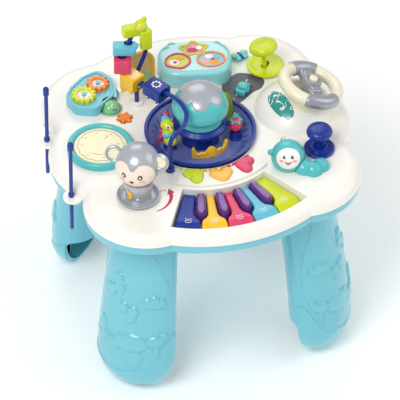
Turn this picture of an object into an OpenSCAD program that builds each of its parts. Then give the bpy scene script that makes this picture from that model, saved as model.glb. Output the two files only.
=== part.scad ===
// Musical activity table: a cloud-shaped play surface on four plug-in legs,
// with a keyboard, a turning play dish, a steering wheel and small toys on top.
// Origin on the floor under the middle of the play dish. +Z up, -Y is the
// keyboard side, lengths in millimetres.

/* [Table top] */
// Height of the play surface above the floor
top_h = 300; // [290:5:320]
// Radius of the front and back lobes about the middle
end_r = 216; // [212:1:218]
// Distance of the corner lobes from the middle, sideways
corner_x = 108; // [106:1:110]
// Distance of the corner lobes from the middle, front to back
corner_y = 104; // [102:1:106]
// Radius of the four corner lobes
corner_r = 88; // [86:1:90]
// Distance of the two side lobes from the middle
side_x = 104; // [102:1:106]
// Radius of the two side lobes
side_r = 110; // [108:1:112]
// Wall of the moulded shells
wall = 2.5; // [2:0.1:3]
// Height of the white rim above the seam
rim_h = 16; // [15:0.5:18]
// Rounding of the white rim
rim_round = 15; // [12:0.5:15]
// Depth of the tray below the seam
tray_h = 19; // [18:0.5:22]
// Rounding of the tray's lower edge
tray_round = 10; // [6:0.5:12]

/* [Legs] */
// Distance of each leg's middle from the table's middle at the top, along X and along Y
leg_top_c = 110; // [106:1:114]
// The same distance at the floor
leg_foot_c = 136; // [130:1:140]
// How far a leg bows outwards halfway down
leg_bow = 7; // [0:1:10]
// Half width of a leg at the top, across its facing direction
leg_top_a = 46; // [42:1:52]
// Half width of a leg near the foot
leg_foot_a = 59; // [52:1:62]
// Half depth of a leg at the top
leg_top_b = 34; // [30:1:36]
// Half depth of a leg near the foot
leg_foot_b = 39; // [36:1:42]
// Height of the rounded foot
foot_round = 60; // [44:1:70]
// Wall of a leg
leg_wall = 3; // [2.5:0.1:3.5]
// Height of the arch on a leg's inner side
leg_arch_h = 62; // [50:1:70]
// Distance from the leg's middle out to the arch's edge
arch_edge = -7; // [-12:1:4]

/* [Keyboard] */
// Direction of the middle key, in degrees
kb_mid = -89; // [-91:0.5:-88]
// Angle between one key and the next
key_pitch = 11.8; // [11.4:0.1:12]
// Distance of the keys' hinge line from the middle
key_r0 = 119; // [118:0.5:121]
// Distance of the keys' front ends from the middle
key_r1 = 196; // [190:0.5:197]
// How far the key tops lie below the play surface
key_drop = 8; // [7:0.5:9]
// Thickness of a key
key_h = 11; // [9:0.5:12]
// Travel of a key in degrees
key_travel = 2.5; // [1.5:0.1:3]
// How far a purple key reaches from the middle
sharp_r1 = 164; // [156:1:168]
// How far a purple key stands above the coloured keys
sharp_rise = 6; // [4:0.5:7]
// Half angle of a purple key
sharp_half = 2.9; // [2.5:0.1:3.1]

/* [Button panel] */
// Inner radius of the raised panel
panel_r0 = 79.5; // [79:0.5:81]
// Outer radius of the raised panel
panel_r1 = 113.5; // [112:0.5:114]
// Height of the panel above the play surface
panel_h = 4; // [3:0.5:5]
// Angle that the panel spans
panel_span = 70; // [66:1:72]
// Distance of the heart buttons from the middle
heart_at_r = 94.5; // [93:0.5:96]
// Angle between the heart buttons
heart_step = 23.5; // [22:0.5:25]
// Mean radius of a heart button
heart_r = 13.5; // [12:0.5:13.5]
// Travel of the push buttons
press = 2; // [1:0.1:2]

/* [Play dish] */
// Radius of the dish at its rim
dish_r = 77.5; // [76:0.5:78]
// Radius of the dish where it enters the table
dish_base_r = 74; // [72:0.5:75]
// Height of the dish rim above the play surface
dish_rim_h = 8; // [7:0.5:9]
// Depth of the dish floor below the play surface
dish_depth = 10; // [8:0.5:11]
// Radius of the disc below the dome
hub_r = 38; // [36:0.5:39]
// Radius of the pedestal that carries the disc
pedestal_r = 26; // [24:0.5:30]
// Height of the hub above the play surface
hub_h = 26; // [24:0.5:28]
// Radius of the dome
dome_r = 40; // [38:0.5:41]
// Height of the dome's widest ring above the play surface
dome_z = 43; // [40:0.5:44]
// Radius of the dome's skirt
skirt_r = 31; // [29:0.5:32]
// Radius of the spindle that the dish turns on
spindle_r = 8; // [6:0.5:9]
// Running clearance of spindles and pins
fit = 0.1; // [0.05:0.01:0.1]

/* [Bead maze] */
// Radius of the maze tube
wire_r = 3.2; // [2.8:0.1:3.6]
// Width of the maze blocks
block_w = 24; // [22:0.5:25]
// Clearance of the maze tube at the narrowest ring of a block's hole
bore_gap = 0.7; // [0.6:0.05:0.9]

/* [Toys on the left] */
// Place of the drum
drum_pos = [-141, 8];
// Radius of the drum's playing face
drum_r = 36.5; // [34:0.5:38]
// Width of the drum's ring
drum_ring_w = 9.5; // [8:0.5:10]
// Height of the drum's ring
drum_ring_h = 10; // [8:0.5:11]
// Place of the mouse
mouse_pos = [-120, -102];
// Radius of the mouse's saucer
saucer_r = 30; // [28:0.5:31]
// Radius of the mouse's head
mouse_r = 31; // [29:0.5:32]
// Height of the middle of the head above the play surface
mouse_head_z = 61; // [60:0.5:63]
// Direction that the mouse faces, in degrees
mouse_faces = -123; // [-140:1:-100]
// Place of the large gear
gear_a_pos = [-136, 106];
// Place of the small gear
gear_b_pos = [-111, 123.5];
// Teeth on the large gear
teeth_a = 12; // [12:1:12]
// Teeth on the small gear
teeth_b = 11; // [11:1:11]
// Radius of a gear tooth
tooth_r = 1.9; // [1.6:0.1:1.9]
// Thickness of the gears
gear_h = 6; // [5:0.5:7]
// Height of the gear case
gear_case_h = 13; // [11:0.5:14]
// Place of the roller
roller_pos = [-104, 85];
// Radius of the roller
roller_r = 13; // [12:0.5:13.5]
// Place of the flower button
flower_pos = [-91, 60];
// Place of the arched page
page_pos = [-55, 117];
// Width of the arched page
page_w = 54; // [50:1:56]
// Height of the arched page
page_h = 60; // [56:1:66]
// Thickness of the arched page
page_t = 4; // [3:0.5:5]
// Height of each drumstick
stick_len = 161; // [150:1:170]
// Radius of a drumstick
stick_r = 2.8; // [2.4:0.1:3]
// Radius of a drumstick's tip
stick_tip_r = 4.2; // [3.8:0.1:4.6]
// Place of the back drumstick; the front one mirrors it
stick_pos = [-203, 60];
// Radius of the tabs that hold the drumsticks
tab_r = 14; // [13:0.5:15]

/* [Toys at the back and right] */
// Place of the music box
box_pos = [31, 127];
// Width of the music box
box_w = 104; // [96:1:106]
// Depth of the music box
box_d = 72; // [66:1:74]
// Height of the music box case
box_h = 27; // [24:0.5:30]
// Corner radius of the music box
box_corner = 32; // [28:1:34]
// Turn of the music box in degrees
box_turn = -13; // [-15:1:-10]
// Place of the lever
lever_pos = [127, 103];
// Radius of the lever's guard disc
guard_r = 26.5; // [24:0.5:27]
// Height of the lever's head above the play surface
lever_head_z = 47; // [44:0.5:50]
// Lean of the lever at rest in degrees
lever_lean = 8; // [5:0.5:10]
// Place of the butterfly
butterfly_pos = [101, 135];
// Place of the toy car
car_pos = [83, 67];
// Direction of the car's slot in degrees
car_dir = 49; // [45:1:52]
// How far the car slides each way
car_slide = 8; // [6:0.5:8]
// Place of the steering console
console_pos = [142, 12];
// Radius of the steering console at its foot
console_r = 58; // [56:0.5:59]
// Height of the steering console
console_h = 34; // [32:0.5:35]
// Place of the middle of the steering wheel
wheel_pos = [160, 0];
// Height of the middle of the wheel above the play surface
wheel_z = 46; // [45:0.5:48]
// Mean radius of the wheel's rim
wheel_r = 38.5; // [37:0.5:39]
// Radius of the rim's round section
rim_tube_r = 9; // [7:0.1:9.5]
// Tilt of the wheel towards the driver in degrees
wheel_tilt = 19; // [16:1:20]
// Place of the blue plunger
plunger_pos = [146, -82];
// Radius of the plunger's guard
plunger_guard_r = 21.5; // [20:0.5:22]
// Travel of the plunger
plunger_travel = 8; // [5:0.5:10]
// Place of the bug's head
bug_pos = [97, -95];
// Radius of the bug's head
bug_r = 24; // [22:0.5:24]

/* [Inside] */
// Radius of the speaker
speaker_r = 25; // [22:0.5:27]
// Place of the speaker, sideways
speaker_x = -48;
// How far in from the back lobe's end the speaker's middle lies
speaker_in = 51; // [48:1:60]
// Place of the circuit board, sideways
board_x = 40;
// How far in from the back lobe's end the board's middle lies
board_in = 66; // [64:1:72]
// How far out from the side lobe's middle the battery box lies
battery_out = 38; // [34:1:40]
// Radius of a battery cell
cell_r = 7.2; // [7:0.1:7.25]
// Length of a battery cell
cell_len = 50.5; // [50:0.1:51]

/* [Hidden] */
$fn = 48;

gap = 0.3;               // clearance between a moving piece and what it rests near
e = 1;                   // how far a cut runs past a face
seam_z = top_h - rim_h;
under_z = top_h - wall;
tray_z = seam_z - tray_h;
tray_floor_z = tray_z + wall;
tray_inset = 1.5;

// keyboard, worked out from the driving sizes
key_top_z = top_h - key_drop;
key_z = key_top_z - key_h;
key_gap_deg = 0.2;
key_span = 5 * key_pitch;
key_drop_at_front = (key_r1 - key_r0) * sin(key_travel);
kb_floor_z = key_z - key_drop_at_front - 1;
kb_r0 = key_r0 - 0.8;
kb_r1 = key_r1 + 1;
key_skin = 2.2;
sharp_r0 = key_r0 + 1;
notch_r1 = sharp_r1 + 2.2;
pad_r = 3;

// dish, worked out from the driving sizes
dish_z = top_h + dish_rim_h;
dish_floor_z = top_h - dish_depth;
dish_under_z = dish_floor_z - wall;
well_floor_z = dish_under_z - 2;
well_r = dish_base_r + 1.5;
hub_z = top_h + hub_h;
dome_mid_z = top_h + dome_z;
skirt_z = hub_z + 8;
lining_t = 1.2;
cap_t = 1.2;

// bead maze
maze_foot_back = [-66, 84];
maze_foot_front = [-62, -62];
socket_r = 9;
socket_h = 6;
maze_route = [
    [maze_foot_front.x, maze_foot_front.y, top_h - 4], [-62, -62, top_h + 25],
    [-62.5, -64, top_h + 50], [-58, -63, top_h + 61], [-46, -57, top_h + 65],
    [-35.5, -46, top_h + 67], [-30, -33, top_h + 70], [-30.5, -19, top_h + 72.5],
    [-35, -4, top_h + 74], [-42.5, 14, top_h + 70.5], [-52.5, 34, top_h + 64],
    [-61.5, 53, top_h + 58], [-69, 63, top_h + 56], [-76, 70, top_h + 57.5],
    [-82, 76, top_h + 63], [-86, 79.5, top_h + 71], [-87, 81, top_h + 82],
    [-86, 83, top_h + 92], [-82, 85, top_h + 101], [-77, 87, top_h + 110],
    [-72, 89, top_h + 119], [-66, 91, top_h + 126], [-58, 92, top_h + 128],
    [-50.5, 93, top_h + 123], [-47, 93, top_h + 113], [-48, 92, top_h + 101],
    [-51, 90, top_h + 89.5], [-55, 88, top_h + 79], [-60, 87, top_h + 68],
    [-64, 86, top_h + 57], [-66, 84, top_h + 40],
    [maze_foot_back.x, maze_foot_back.y, top_h - 4]];
wire_steps = 2;          // rings between one route point and the next
wire_sides = 10;

// gears and buttons
pitch_a = norm(gear_a_pos - gear_b_pos) * teeth_a / (teeth_a + teeth_b);
pitch_b = norm(gear_a_pos - gear_b_pos) * teeth_b / (teeth_a + teeth_b);
gear_pin_r = 3;
stem_r = 3.5;
button_gap = 0.4;        // clearance of a push button in its hole
petal_count = 6;
petal_r = 4.2;
petal_at = 7.5;
heart_turn = -140;       // turn of the outer heart buttons
tab_t = 4;
car_pin_r = 2;
butterfly_pin_r = 3;
plunger_stem_r = 7.5;
flange_r = 6;
flange_t = 2;
post_r = 5;
page_turn = 11.7;
page_pin_z = top_h + 5;
pin_r = 2.2;
tilt_axis = [0, wheel_tilt, 0];
lever_pivot_z = top_h - 12;
lever_slot_dir = 50;
lever_stick_r = 6.5;
guard_h = 9;
speaker_pos = [speaker_x, end_r - speaker_in];
board_pos = [board_x, end_r - board_in];
battery_pos = [side_x + battery_out, 14];
screw_x = corner_x + 38;
screw_y = corner_y + 36;
screw_spots = [[-screw_x, screw_y], [screw_x, screw_y], [-screw_x, -screw_y], [screw_x, -screw_y],
    [-side_x - 46, 0], [0, end_r - 26]];

// ---------- shared shapes ----------

module sector(r0, r1, a0, a1, z, h)
    rotate([0, 0, a0]) translate([0, 0, z])
        rotate_extrude(angle = a1 - a0) translate([r0, 0]) square([r1 - r0, h]);

module tube(r0, r1, h)
    difference() {
        cylinder(r = r1, h = h);
        translate([0, 0, -e]) cylinder(r = r0, h = h + 2 * e);
    }

module edge_profile(r, h, round_r) {
    square([r - round_r, h]);
    square([r, h - round_r]);
    translate([r - round_r, h - round_r]) intersection() {
        circle(round_r);
        square(round_r);
    }
}

// The cloud outline as a solid with a rounded upper edge, shrunk by inset
module cloud(inset, h, round_r) {
    for (sx = [-1, 1]) {
        translate([sx * side_x, 0, 0])
            rotate_extrude() edge_profile(side_r - inset, h, round_r);
        for (sy = [-1, 1])
            translate([sx * corner_x, sy * corner_y, 0])
                rotate_extrude() edge_profile(corner_r - inset, h, round_r);
    }
    intersection() {
        rotate_extrude() edge_profile(end_r - inset, h, round_r);
        translate([-corner_x + 3.5, -end_r, -e]) cube([2 * corner_x - 7, 2 * end_r, h + 2 * e]);
    }
}

// Soft heart that points along +X, grown by grow
module heart_outline(grow)
    polygon([for (w = [0:6:354])
        (heart_r * (1.01 + 0.105 * cos(w) - 0.149 * cos(2 * w) + 0.155 * cos(3 * w)) + grow)
            * [cos(w), sin(w)]]);

// Outline with rounded corners of radius r about points listed anticlockwise
module soft_outline(points, r) {
    n = len(points);
    steps = 6;
    polygon([for (i = [0:n - 1])
        let (a = points[(i + n - 1) % n], b = points[i], c = points[(i + 1) % n],
             w = atan2(b.y - a.y, b.x - a.x) - 90,
             bend = (atan2(c.y - b.y, c.x - b.x) - 90 - w + 360) % 360)
        for (k = [0:steps]) b + r * [cos(w + bend * k / steps), sin(w + bend * k / steps)]]);
}

module petals(n, petal_r, at_r) {
    circle(at_r);
    for (i = [0:n - 1])
        rotate([0, 0, i * 360 / n]) translate([at_r, 0]) circle(petal_r);
}

// Push button with the outline given as a child: a cap that rises cap_h above a deck
// face at face_h, and a retaining flange under the deck
module push_button(face_h, cap_h, flange) {
    translate([0, 0, -wall - gap - 0.5]) linear_extrude(face_h + cap_h + wall + gap + 0.5) children();
    translate([0, 0, -wall - gap - flange_t]) cylinder(r = flange, h = flange_t);
}

module at_xy(p, z) translate([p.x, p.y, z]) children();

module heart_place(i)
    rotate([0, 0, kb_mid + (i - 1) * heart_step]) translate([heart_at_r, 0, top_h])
        rotate([0, 0, (i - 1) * heart_turn]) children();

// ---------- table ----------

module screw_bosses(r, z, h)
    for (p = screw_spots) at_xy(p, z) cylinder(r = r, h = h);

module key_well(grow, z, h)
    sector(kb_r0 - grow, kb_r1 + grow, kb_mid - key_span / 2 - 0.4 - grow / 2.4,
        kb_mid + key_span / 2 + 0.4 + grow / 2.4, z, h);

module top_shell_body() {
    difference() {
        union() {
            difference() {
                translate([0, 0, seam_z]) cloud(0, rim_h, rim_round);
                translate([0, 0, seam_z - e]) cloud(wall, rim_h - wall + e, rim_round - wall);
            }
            key_well(wall, kb_floor_z - wall, under_z - kb_floor_z + wall + 1);
            translate([0, 0, well_floor_z - wall])
                cylinder(r = well_r + wall, h = top_h - well_floor_z + wall);
            sector(panel_r0, panel_r1, kb_mid - panel_span / 2, kb_mid + panel_span / 2,
                under_z, panel_h + wall);
            at_xy(roller_pos, top_h) intersection() {
                sphere(roller_r + 1.5 + wall);
                translate([0, 0, -40]) cylinder(r = 40, h = 40);
            }
            screw_bosses(4.5, tray_floor_z, under_z - tray_floor_z + 1);
            at_xy(maze_foot_back, top_h - 4) cylinder(r = socket_r, h = socket_h + 4);
            at_xy(maze_foot_front, top_h - 4) cylinder(r = socket_r - 3, h = socket_h + 2);
            at_xy(mouse_pos, top_h - 1) cylinder(r = post_r, h = 25);
            page_lugs();
            lever_lugs();
            for (s = [-1, 1]) at_xy([stick_pos.x + 3, s * stick_pos.y], seam_z)
                cylinder(r = tab_r, h = tab_t);
        }
        key_well(0, kb_floor_z, top_h - kb_floor_z + e);
        translate([0, 0, well_floor_z]) cylinder(r = well_r, h = top_h);
        at_xy(roller_pos, top_h) sphere(roller_r + 1.5);
        at_xy(roller_pos, top_h) rotate([0, 90, 50]) cylinder(r = 1.5 + fit, h = 34, center = true);
        screw_bosses(1.5, tray_floor_z - e, 22);
        for (i = [0:2]) heart_place(i) translate([0, 0, -20])
            linear_extrude(40) heart_outline(button_gap);
        at_xy(flower_pos, top_h - 20)
            linear_extrude(40) petals(petal_count, petal_r + button_gap, petal_at);
        at_xy(drum_pos, top_h - 20) cylinder(r = stem_r + button_gap, h = 40);
        at_xy(plunger_pos, top_h - 20) cylinder(r = plunger_stem_r + button_gap, h = 40);
        at_xy(bug_pos, top_h - 20) cylinder(r = stem_r + fit, h = 40);
        at_xy(butterfly_pos, top_h - 20) cylinder(r = butterfly_pin_r + fit, h = 40);
        car_slot(top_h - 20, 40, car_pin_r + button_gap);
        at_xy(lever_pos, top_h - 8) cylinder(r = 12, h = 20);
        at_xy(maze_foot_back, top_h - 10) cylinder(r = wire_r, h = 40);
        at_xy(maze_foot_front, top_h - 10) cylinder(r = wire_r, h = 40);
        stick_places() translate([0, 0, seam_z - e]) cylinder(r = stick_r + fit, h = tab_t + 2 * e);
    }
    translate([0, 0, well_floor_z - wall])
        cylinder(r = spindle_r, h = hub_z - 3 - gap - well_floor_z + wall);
    // step that the keys' back ends rest on
    sector(kb_r0 - 0.5, key_r0 + 3, kb_mid - key_span / 2, kb_mid + key_span / 2,
        kb_floor_z - 1, key_z - gap - kb_floor_z + 1);
}

module page_lugs()
    at_xy(page_pos, 0) rotate([0, 0, page_turn])
        for (s = [-1, 1])
            difference() {
                translate([s * (page_w / 2 + 2.5 + gap) - 2.5, -5, under_z])
                    cube([5, 10, page_pin_z - under_z + 5]);
                translate([s * (page_w / 2 + 2.5), 0, page_pin_z]) rotate([0, 90, 0])
                    cylinder(r = pin_r + fit, h = 12, center = true);
            }

module lever_lugs()
    at_xy(lever_pos, 0) rotate([0, 0, lever_slot_dir])
        for (s = [-1, 1])
            difference() {
                translate([-6, s * 13.5 - 2, lever_pivot_z - 6])
                    cube([12, 4, under_z - lever_pivot_z + 7]);
                translate([0, s * 13.5, lever_pivot_z]) rotate([90, 0, 0])
                    cylinder(r = pin_r + fit, h = 10, center = true);
            }

module car_slot(z, h, half_w)
    at_xy(car_pos, z) rotate([0, 0, car_dir]) {
        translate([-car_slide, -half_w, 0]) cube([2 * car_slide, 2 * half_w, h]);
        for (s = [-1, 1]) translate([s * car_slide, 0, 0]) cylinder(r = half_w, h = h);
    }

module top_shell() color("#f7f3ec") top_shell_body();

plug_w = 34;
plug_d = 16;
plug_h = 10;

module leg_turns() for (sx = [-1, 1], sy = [-1, 1])
    translate([sx * leg_top_c, sy * leg_top_c, 0])
        rotate([0, 0, atan2(sy, sx)]) children();

module bottom_tray() color("#52c4c4") {
    difference() {
        translate([0, 0, seam_z]) mirror([0, 0, 1]) cloud(tray_inset, tray_h, tray_round);
        translate([0, 0, seam_z + e]) mirror([0, 0, 1])
            cloud(tray_inset + wall, tray_h - wall + e, tray_round - wall);
        leg_turns() translate([-plug_d / 2 - gap, -plug_w / 2 - gap, tray_z - e])
            cube([plug_d + 2 * gap, plug_w + 2 * gap, 10]);
        at_xy(battery_pos, tray_z - e) translate([-31, -27, 0]) cube([62, 54, 10]);
        at_xy(speaker_pos, tray_z - e)
            for (x = [-16:8:16]) translate([x - 1.5, -14, 0]) cube([3, 28, 10]);
        for (p = screw_spots) at_xy(p, tray_z - e) cylinder(r = 1.5, h = 10);
        for (p = screw_spots) at_xy(p, tray_z - e) cylinder(r = 4, h = e + 1.5);
    }
    battery_walls();
    at_xy(speaker_pos, tray_floor_z - e) tube(speaker_r + gap, speaker_r + gap + 2, 5);
    for (x = [-30, 30], y = [-17, 17])
        at_xy(board_pos + [x, y], tray_floor_z - e) cylinder(r = 3, h = 5);
}

module battery_walls()
    at_xy(battery_pos, tray_z) difference() {
        translate([-31 - wall, -27 - wall, wall / 2])
            cube([62 + 2 * wall, 54 + 2 * wall, 19]);
        translate([-31, -27, -e]) cube([62, 54, 19 + wall / 2 - wall + e]);
    }

module battery_door() color("#4abcbc")
    at_xy(battery_pos, tray_z) difference() {
        translate([-31 + gap, -27 + gap, 0]) cube([62 - 2 * gap, 54 - 2 * gap, wall]);
        translate([0, 20, -e]) cylinder(r = 6, h = e + 0.8);
    }

module battery_cells() color("#c9c9c9")
    for (i = [-1:1])
        at_xy(battery_pos, tray_z + wall + cell_r) translate([0, i * (2 * cell_r + 1.5), 0])
            rotate([0, 90, 0]) {
                cylinder(r = cell_r, h = cell_len - 1, center = true);
                translate([0, 0, (i == 0 ? -1 : 1) * (cell_len - 1) / 2])
                    cylinder(r = 2.7, h = 2, center = true);
            }

module case_screws() color("#9a9da2")
    for (p = screw_spots) at_xy(p, tray_z + 0.3) difference() {
        union() {
            cylinder(r = 3.5, h = 1.2);
            cylinder(r = 1.5, h = 18);
        }
        translate([-2.5, -0.4, -e]) cube([5, 0.8, e + 0.6]);
        translate([-0.4, -2.5, -e]) cube([0.8, 5, e + 0.6]);
    }

module circuit_board() color("#2f7d4f")
    at_xy(board_pos, tray_floor_z + 5 - e) {
        translate([-36, -23, 0]) cube([72, 46, 1.6]);
        translate([-10, -8, 1.6]) cube([16, 16, 2]);
        translate([16, 4, 1.6]) cylinder(r = 4, h = 8);
        translate([-28, -14, 1.6]) cube([8, 20, 3]);
    }

module speaker() color("#303236")
    at_xy(speaker_pos, tray_floor_z) {
        cylinder(r = speaker_r, h = 3);
        translate([0, 0, 3]) cylinder(r1 = speaker_r - 2, r2 = 11, h = 6);
        translate([0, 0, 9]) cylinder(r = 11, h = 5);
    }

// ---------- legs ----------

leg_rings = 16;
leg_sides = 28;
foot_flat = 0.24;        // share of a leg's section that is left flat at the floor

function foot_scale(z) =
    z >= foot_round ? 1 : foot_flat + (1 - foot_flat) * sqrt(1 - pow(1 - max(z, 0) / foot_round, 2));
function leg_ring(z, thin) =
    let (t = z / tray_z,
         swell = 1 - pow(t, 1.6),
         s = foot_scale(z - thin),
         a = (leg_top_a + (leg_foot_a - leg_top_a) * swell) * s - thin,
         b = (leg_top_b + (leg_foot_b - leg_top_b) * swell) * s - thin,
         out = (leg_foot_c - leg_top_c) * (1 - t) * sqrt(2) + 4 * leg_bow * t * (1 - t))
    [for (i = [0:leg_sides - 1])
        let (w = i * 360 / leg_sides) [out + b * cos(w), a * sin(w), z]];

// A leg's skin from z0 to z1, facing +X, about the leg's place at the top
module leg_skin(z0, z1, thin) {
    n = leg_sides;
    points = [for (k = [0:leg_rings]) each leg_ring(z0 + (z1 - z0) * pow(k / leg_rings, 1.8), thin)];
    faces = concat(
        [[for (i = [0:n - 1]) i]],
        [[for (i = [0:n - 1]) leg_rings * n + n - 1 - i]],
        [for (k = [0:leg_rings - 1], i = [0:n - 1])
            [k * n + i, (k + 1) * n + i, (k + 1) * n + (i + 1) % n, k * n + (i + 1) % n]]);
    polyhedron(points = points, faces = faces, convexity = 4);
}

// The arch that opens the inner half of a foot, rounded at its upper outer corner
module leg_arch() {
    edge = (leg_foot_c - leg_top_c) * sqrt(2) + arch_edge;
    corner = 12;
    translate([edge, leg_foot_a + e, -e]) rotate([90, 0, 0])
        linear_extrude(2 * leg_foot_a + 2 * e) {
            translate([-90, 0]) square([90, leg_arch_h - corner + e]);
            translate([-90, 0]) square([90 - corner, leg_arch_h + e]);
            translate([-corner, leg_arch_h - corner + e]) circle(corner);
        }
}

module leg(sx, sy)
    color("#5fcbd0") translate([sx * leg_top_c, sy * leg_top_c, 0])
        rotate([0, 0, atan2(sy, sx)]) {
            difference() {
                leg_skin(0, tray_z, 0);
                leg_skin(leg_wall, tray_z - leg_wall, leg_wall);
                leg_arch();
            }
            translate([-plug_d / 2, -plug_w / 2, tray_z - leg_wall])
                cube([plug_d, plug_w, leg_wall + plug_h]);
        }

module leg_front_left() leg(-1, -1);
module leg_front_right() leg(1, -1);
module leg_back_left() leg(-1, 1);
module leg_back_right() leg(1, 1);

// ---------- keyboard and buttons ----------

module key_blank(i, shrink, z, h)
    sector(key_r0 + shrink, key_r1 - shrink,
        kb_mid + (i - 2.5) * key_pitch + key_gap_deg + shrink / 2.6,
        kb_mid + (i - 1.5) * key_pitch - key_gap_deg - shrink / 2.6, z, h);

module sharp_room(b)
    sector(key_r0 - e, notch_r1, kb_mid + (b - 1.5) * key_pitch - sharp_half - 0.35,
        kb_mid + (b - 1.5) * key_pitch + sharp_half + 0.35, key_z - e, key_h + 2 * e);

module colour_key(i)
    difference() {
        key_blank(i, 0, key_z, key_h);
        difference() {
            key_blank(i, key_skin, key_z - e, key_h - key_skin + e);
            for (b = [i - 1, i]) if (b >= 0 && b < 4)
                sector(key_r0, notch_r1 + key_skin,
                    kb_mid + (b - 1.5) * key_pitch - sharp_half - 1.3,
                    kb_mid + (b - 1.5) * key_pitch + sharp_half + 1.3, key_z - 2 * e, key_h);
        }
        for (b = [i - 1, i]) if (b >= 0 && b < 4) sharp_room(b);
    }

module key_blue() color("#2f4f9a") colour_key(0);
module key_yellow() color("#f4c430") colour_key(1);
module key_pink() color("#e8526f") colour_key(2);
module key_turquoise() color("#5fc3d2") colour_key(3);
module key_lime() color("#c8da1e") colour_key(4);

module sharp_key(b)
    sector(sharp_r0, sharp_r1, kb_mid + (b - 1.5) * key_pitch - sharp_half,
        kb_mid + (b - 1.5) * key_pitch + sharp_half, key_z, key_h + sharp_rise);

module key_sharp_1() color("#6b3b8c") sharp_key(0);
module key_sharp_2() color("#6b3b8c") sharp_key(1);
module key_sharp_3() color("#6b3b8c") sharp_key(2);
module key_sharp_4() color("#6b3b8c") sharp_key(3);

// Rubber domes under every key
module contact_pads() color("#8d8f93") {
    for (i = [0:4]) rotate([0, 0, kb_mid + (i - 2) * key_pitch])
        translate([key_r1 - 8, 0, kb_floor_z]) cylinder(r = pad_r, h = 0.8);
    for (b = [0:3]) rotate([0, 0, kb_mid + (b - 1.5) * key_pitch])
        translate([sharp_r1 - 6, 0, kb_floor_z])
            cylinder(r = pad_r, h = key_z - (sharp_r1 - sharp_r0) * sin(key_travel) - gap - kb_floor_z);
}

module heart_button(i)
    heart_place(i) push_button(panel_h, 3.5, heart_r + 2.5) heart_outline(0);
module heart_lime() color("#cbdc1c") heart_button(0);
module heart_orange() color("#f6b83c") heart_button(1);
module heart_pink() color("#e8506f") heart_button(2);

// ---------- play dish ----------

module play_dish() color("#143c8f")
    difference() {
        union() {
            rotate_extrude() polygon([[0, dish_under_z], [dish_base_r - 4, dish_under_z],
                [dish_base_r, dish_under_z + 8], [dish_base_r, top_h + 1], [dish_r, dish_z - 2],
                [dish_r, dish_z], [dish_r - 4, dish_z], [dish_r - 6, dish_z - 4],
                [dish_r - 20, dish_floor_z], [pedestal_r, dish_floor_z],
                [pedestal_r, hub_z - 13], [hub_r, hub_z - 8], [hub_r, hub_z - 4],
                [skirt_r + 2, hub_z], [0, hub_z]]);
            translate([0, 0, well_floor_z + gap])
                tube(spindle_r + 14, spindle_r + 18, dish_under_z - well_floor_z - gap + 0.2);
        }
        translate([0, 0, well_floor_z - e]) cylinder(r = spindle_r + fit, h = hub_z - 3 - well_floor_z + e);
        translate([0, 0, dish_under_z - e]) difference() {
            cylinder(r = pedestal_r - 4, h = hub_z - 13 - dish_under_z + e);
            translate([0, 0, -e]) cylinder(r = spindle_r + 4, h = 100);
        }
        for (spot = figure_spots) rotate([0, 0, spot[0]])
            translate([spot[1], 0, dish_floor_z - 1]) cylinder(r = 3, h = 30);
    }

// Direction and distance of the berry's cup, the bird, the leaf, the crown and the fish
figure_spots = [[-16, 49], [188, 46], [24, 50], [-86, 42], [78, 50]];

// Lining that lies in the bowl
module dish_lining() color("#7480b8")
    difference() {
        rotate_extrude() polygon([[pedestal_r + 0.5, dish_floor_z], [dish_r - 20, dish_floor_z],
            [dish_r - 6, dish_z - 4], [dish_r - 7, dish_z - 4 + 0.5],
            [dish_r - 20.6, dish_floor_z + lining_t], [pedestal_r + 0.5, dish_floor_z + lining_t]]);
        for (spot = figure_spots) rotate([0, 0, spot[0]])
            translate([spot[1], 0, dish_floor_z - 1]) cylinder(r = 3, h = 30);
    }

module dome_solid(t) {
    intersection() {
        translate([0, 0, dome_mid_z]) sphere(dome_r - t);
        translate([0, 0, dome_mid_z]) cylinder(r = dome_r, h = dome_r);
    }
    translate([0, 0, skirt_z])
        cylinder(r1 = skirt_r - t, r2 = dome_r - t, h = dome_mid_z - skirt_z);
    translate([0, 0, hub_z]) cylinder(r = skirt_r - t, h = skirt_z - hub_z);
}

module dome_shell() color("#4fb9b2")
    difference() {
        dome_solid(0);
        difference() {
            dome_solid(wall);
            translate([0, 0, hub_z - e]) cylinder(r = dome_r, h = wall + e);
        }
    }

module dome_cap() color("#d9dce6")
    intersection() {
        difference() {
            translate([0, 0, dome_mid_z]) sphere(dome_r + cap_t);
            translate([0, 0, dome_mid_z]) sphere(dome_r);
        }
        translate([0, 0, dome_mid_z + 15]) linear_extrude(dome_r) petals(7, 9, 24);
    }

module figure_place(i) rotate([0, 0, figure_spots[i][0]])
    translate([figure_spots[i][1], 0, dish_floor_z + lining_t]) children();

module foot_post() {
    translate([0, 0, -lining_t]) cylinder(r = 3, h = 4);
    cylinder(r = 6.5, h = 3);
}

fig_cup_h = 14;
cup_floor = 10;
pin_seat = 7;            // height of the berry's pin above the lining
berry_r = 9.5;

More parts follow.
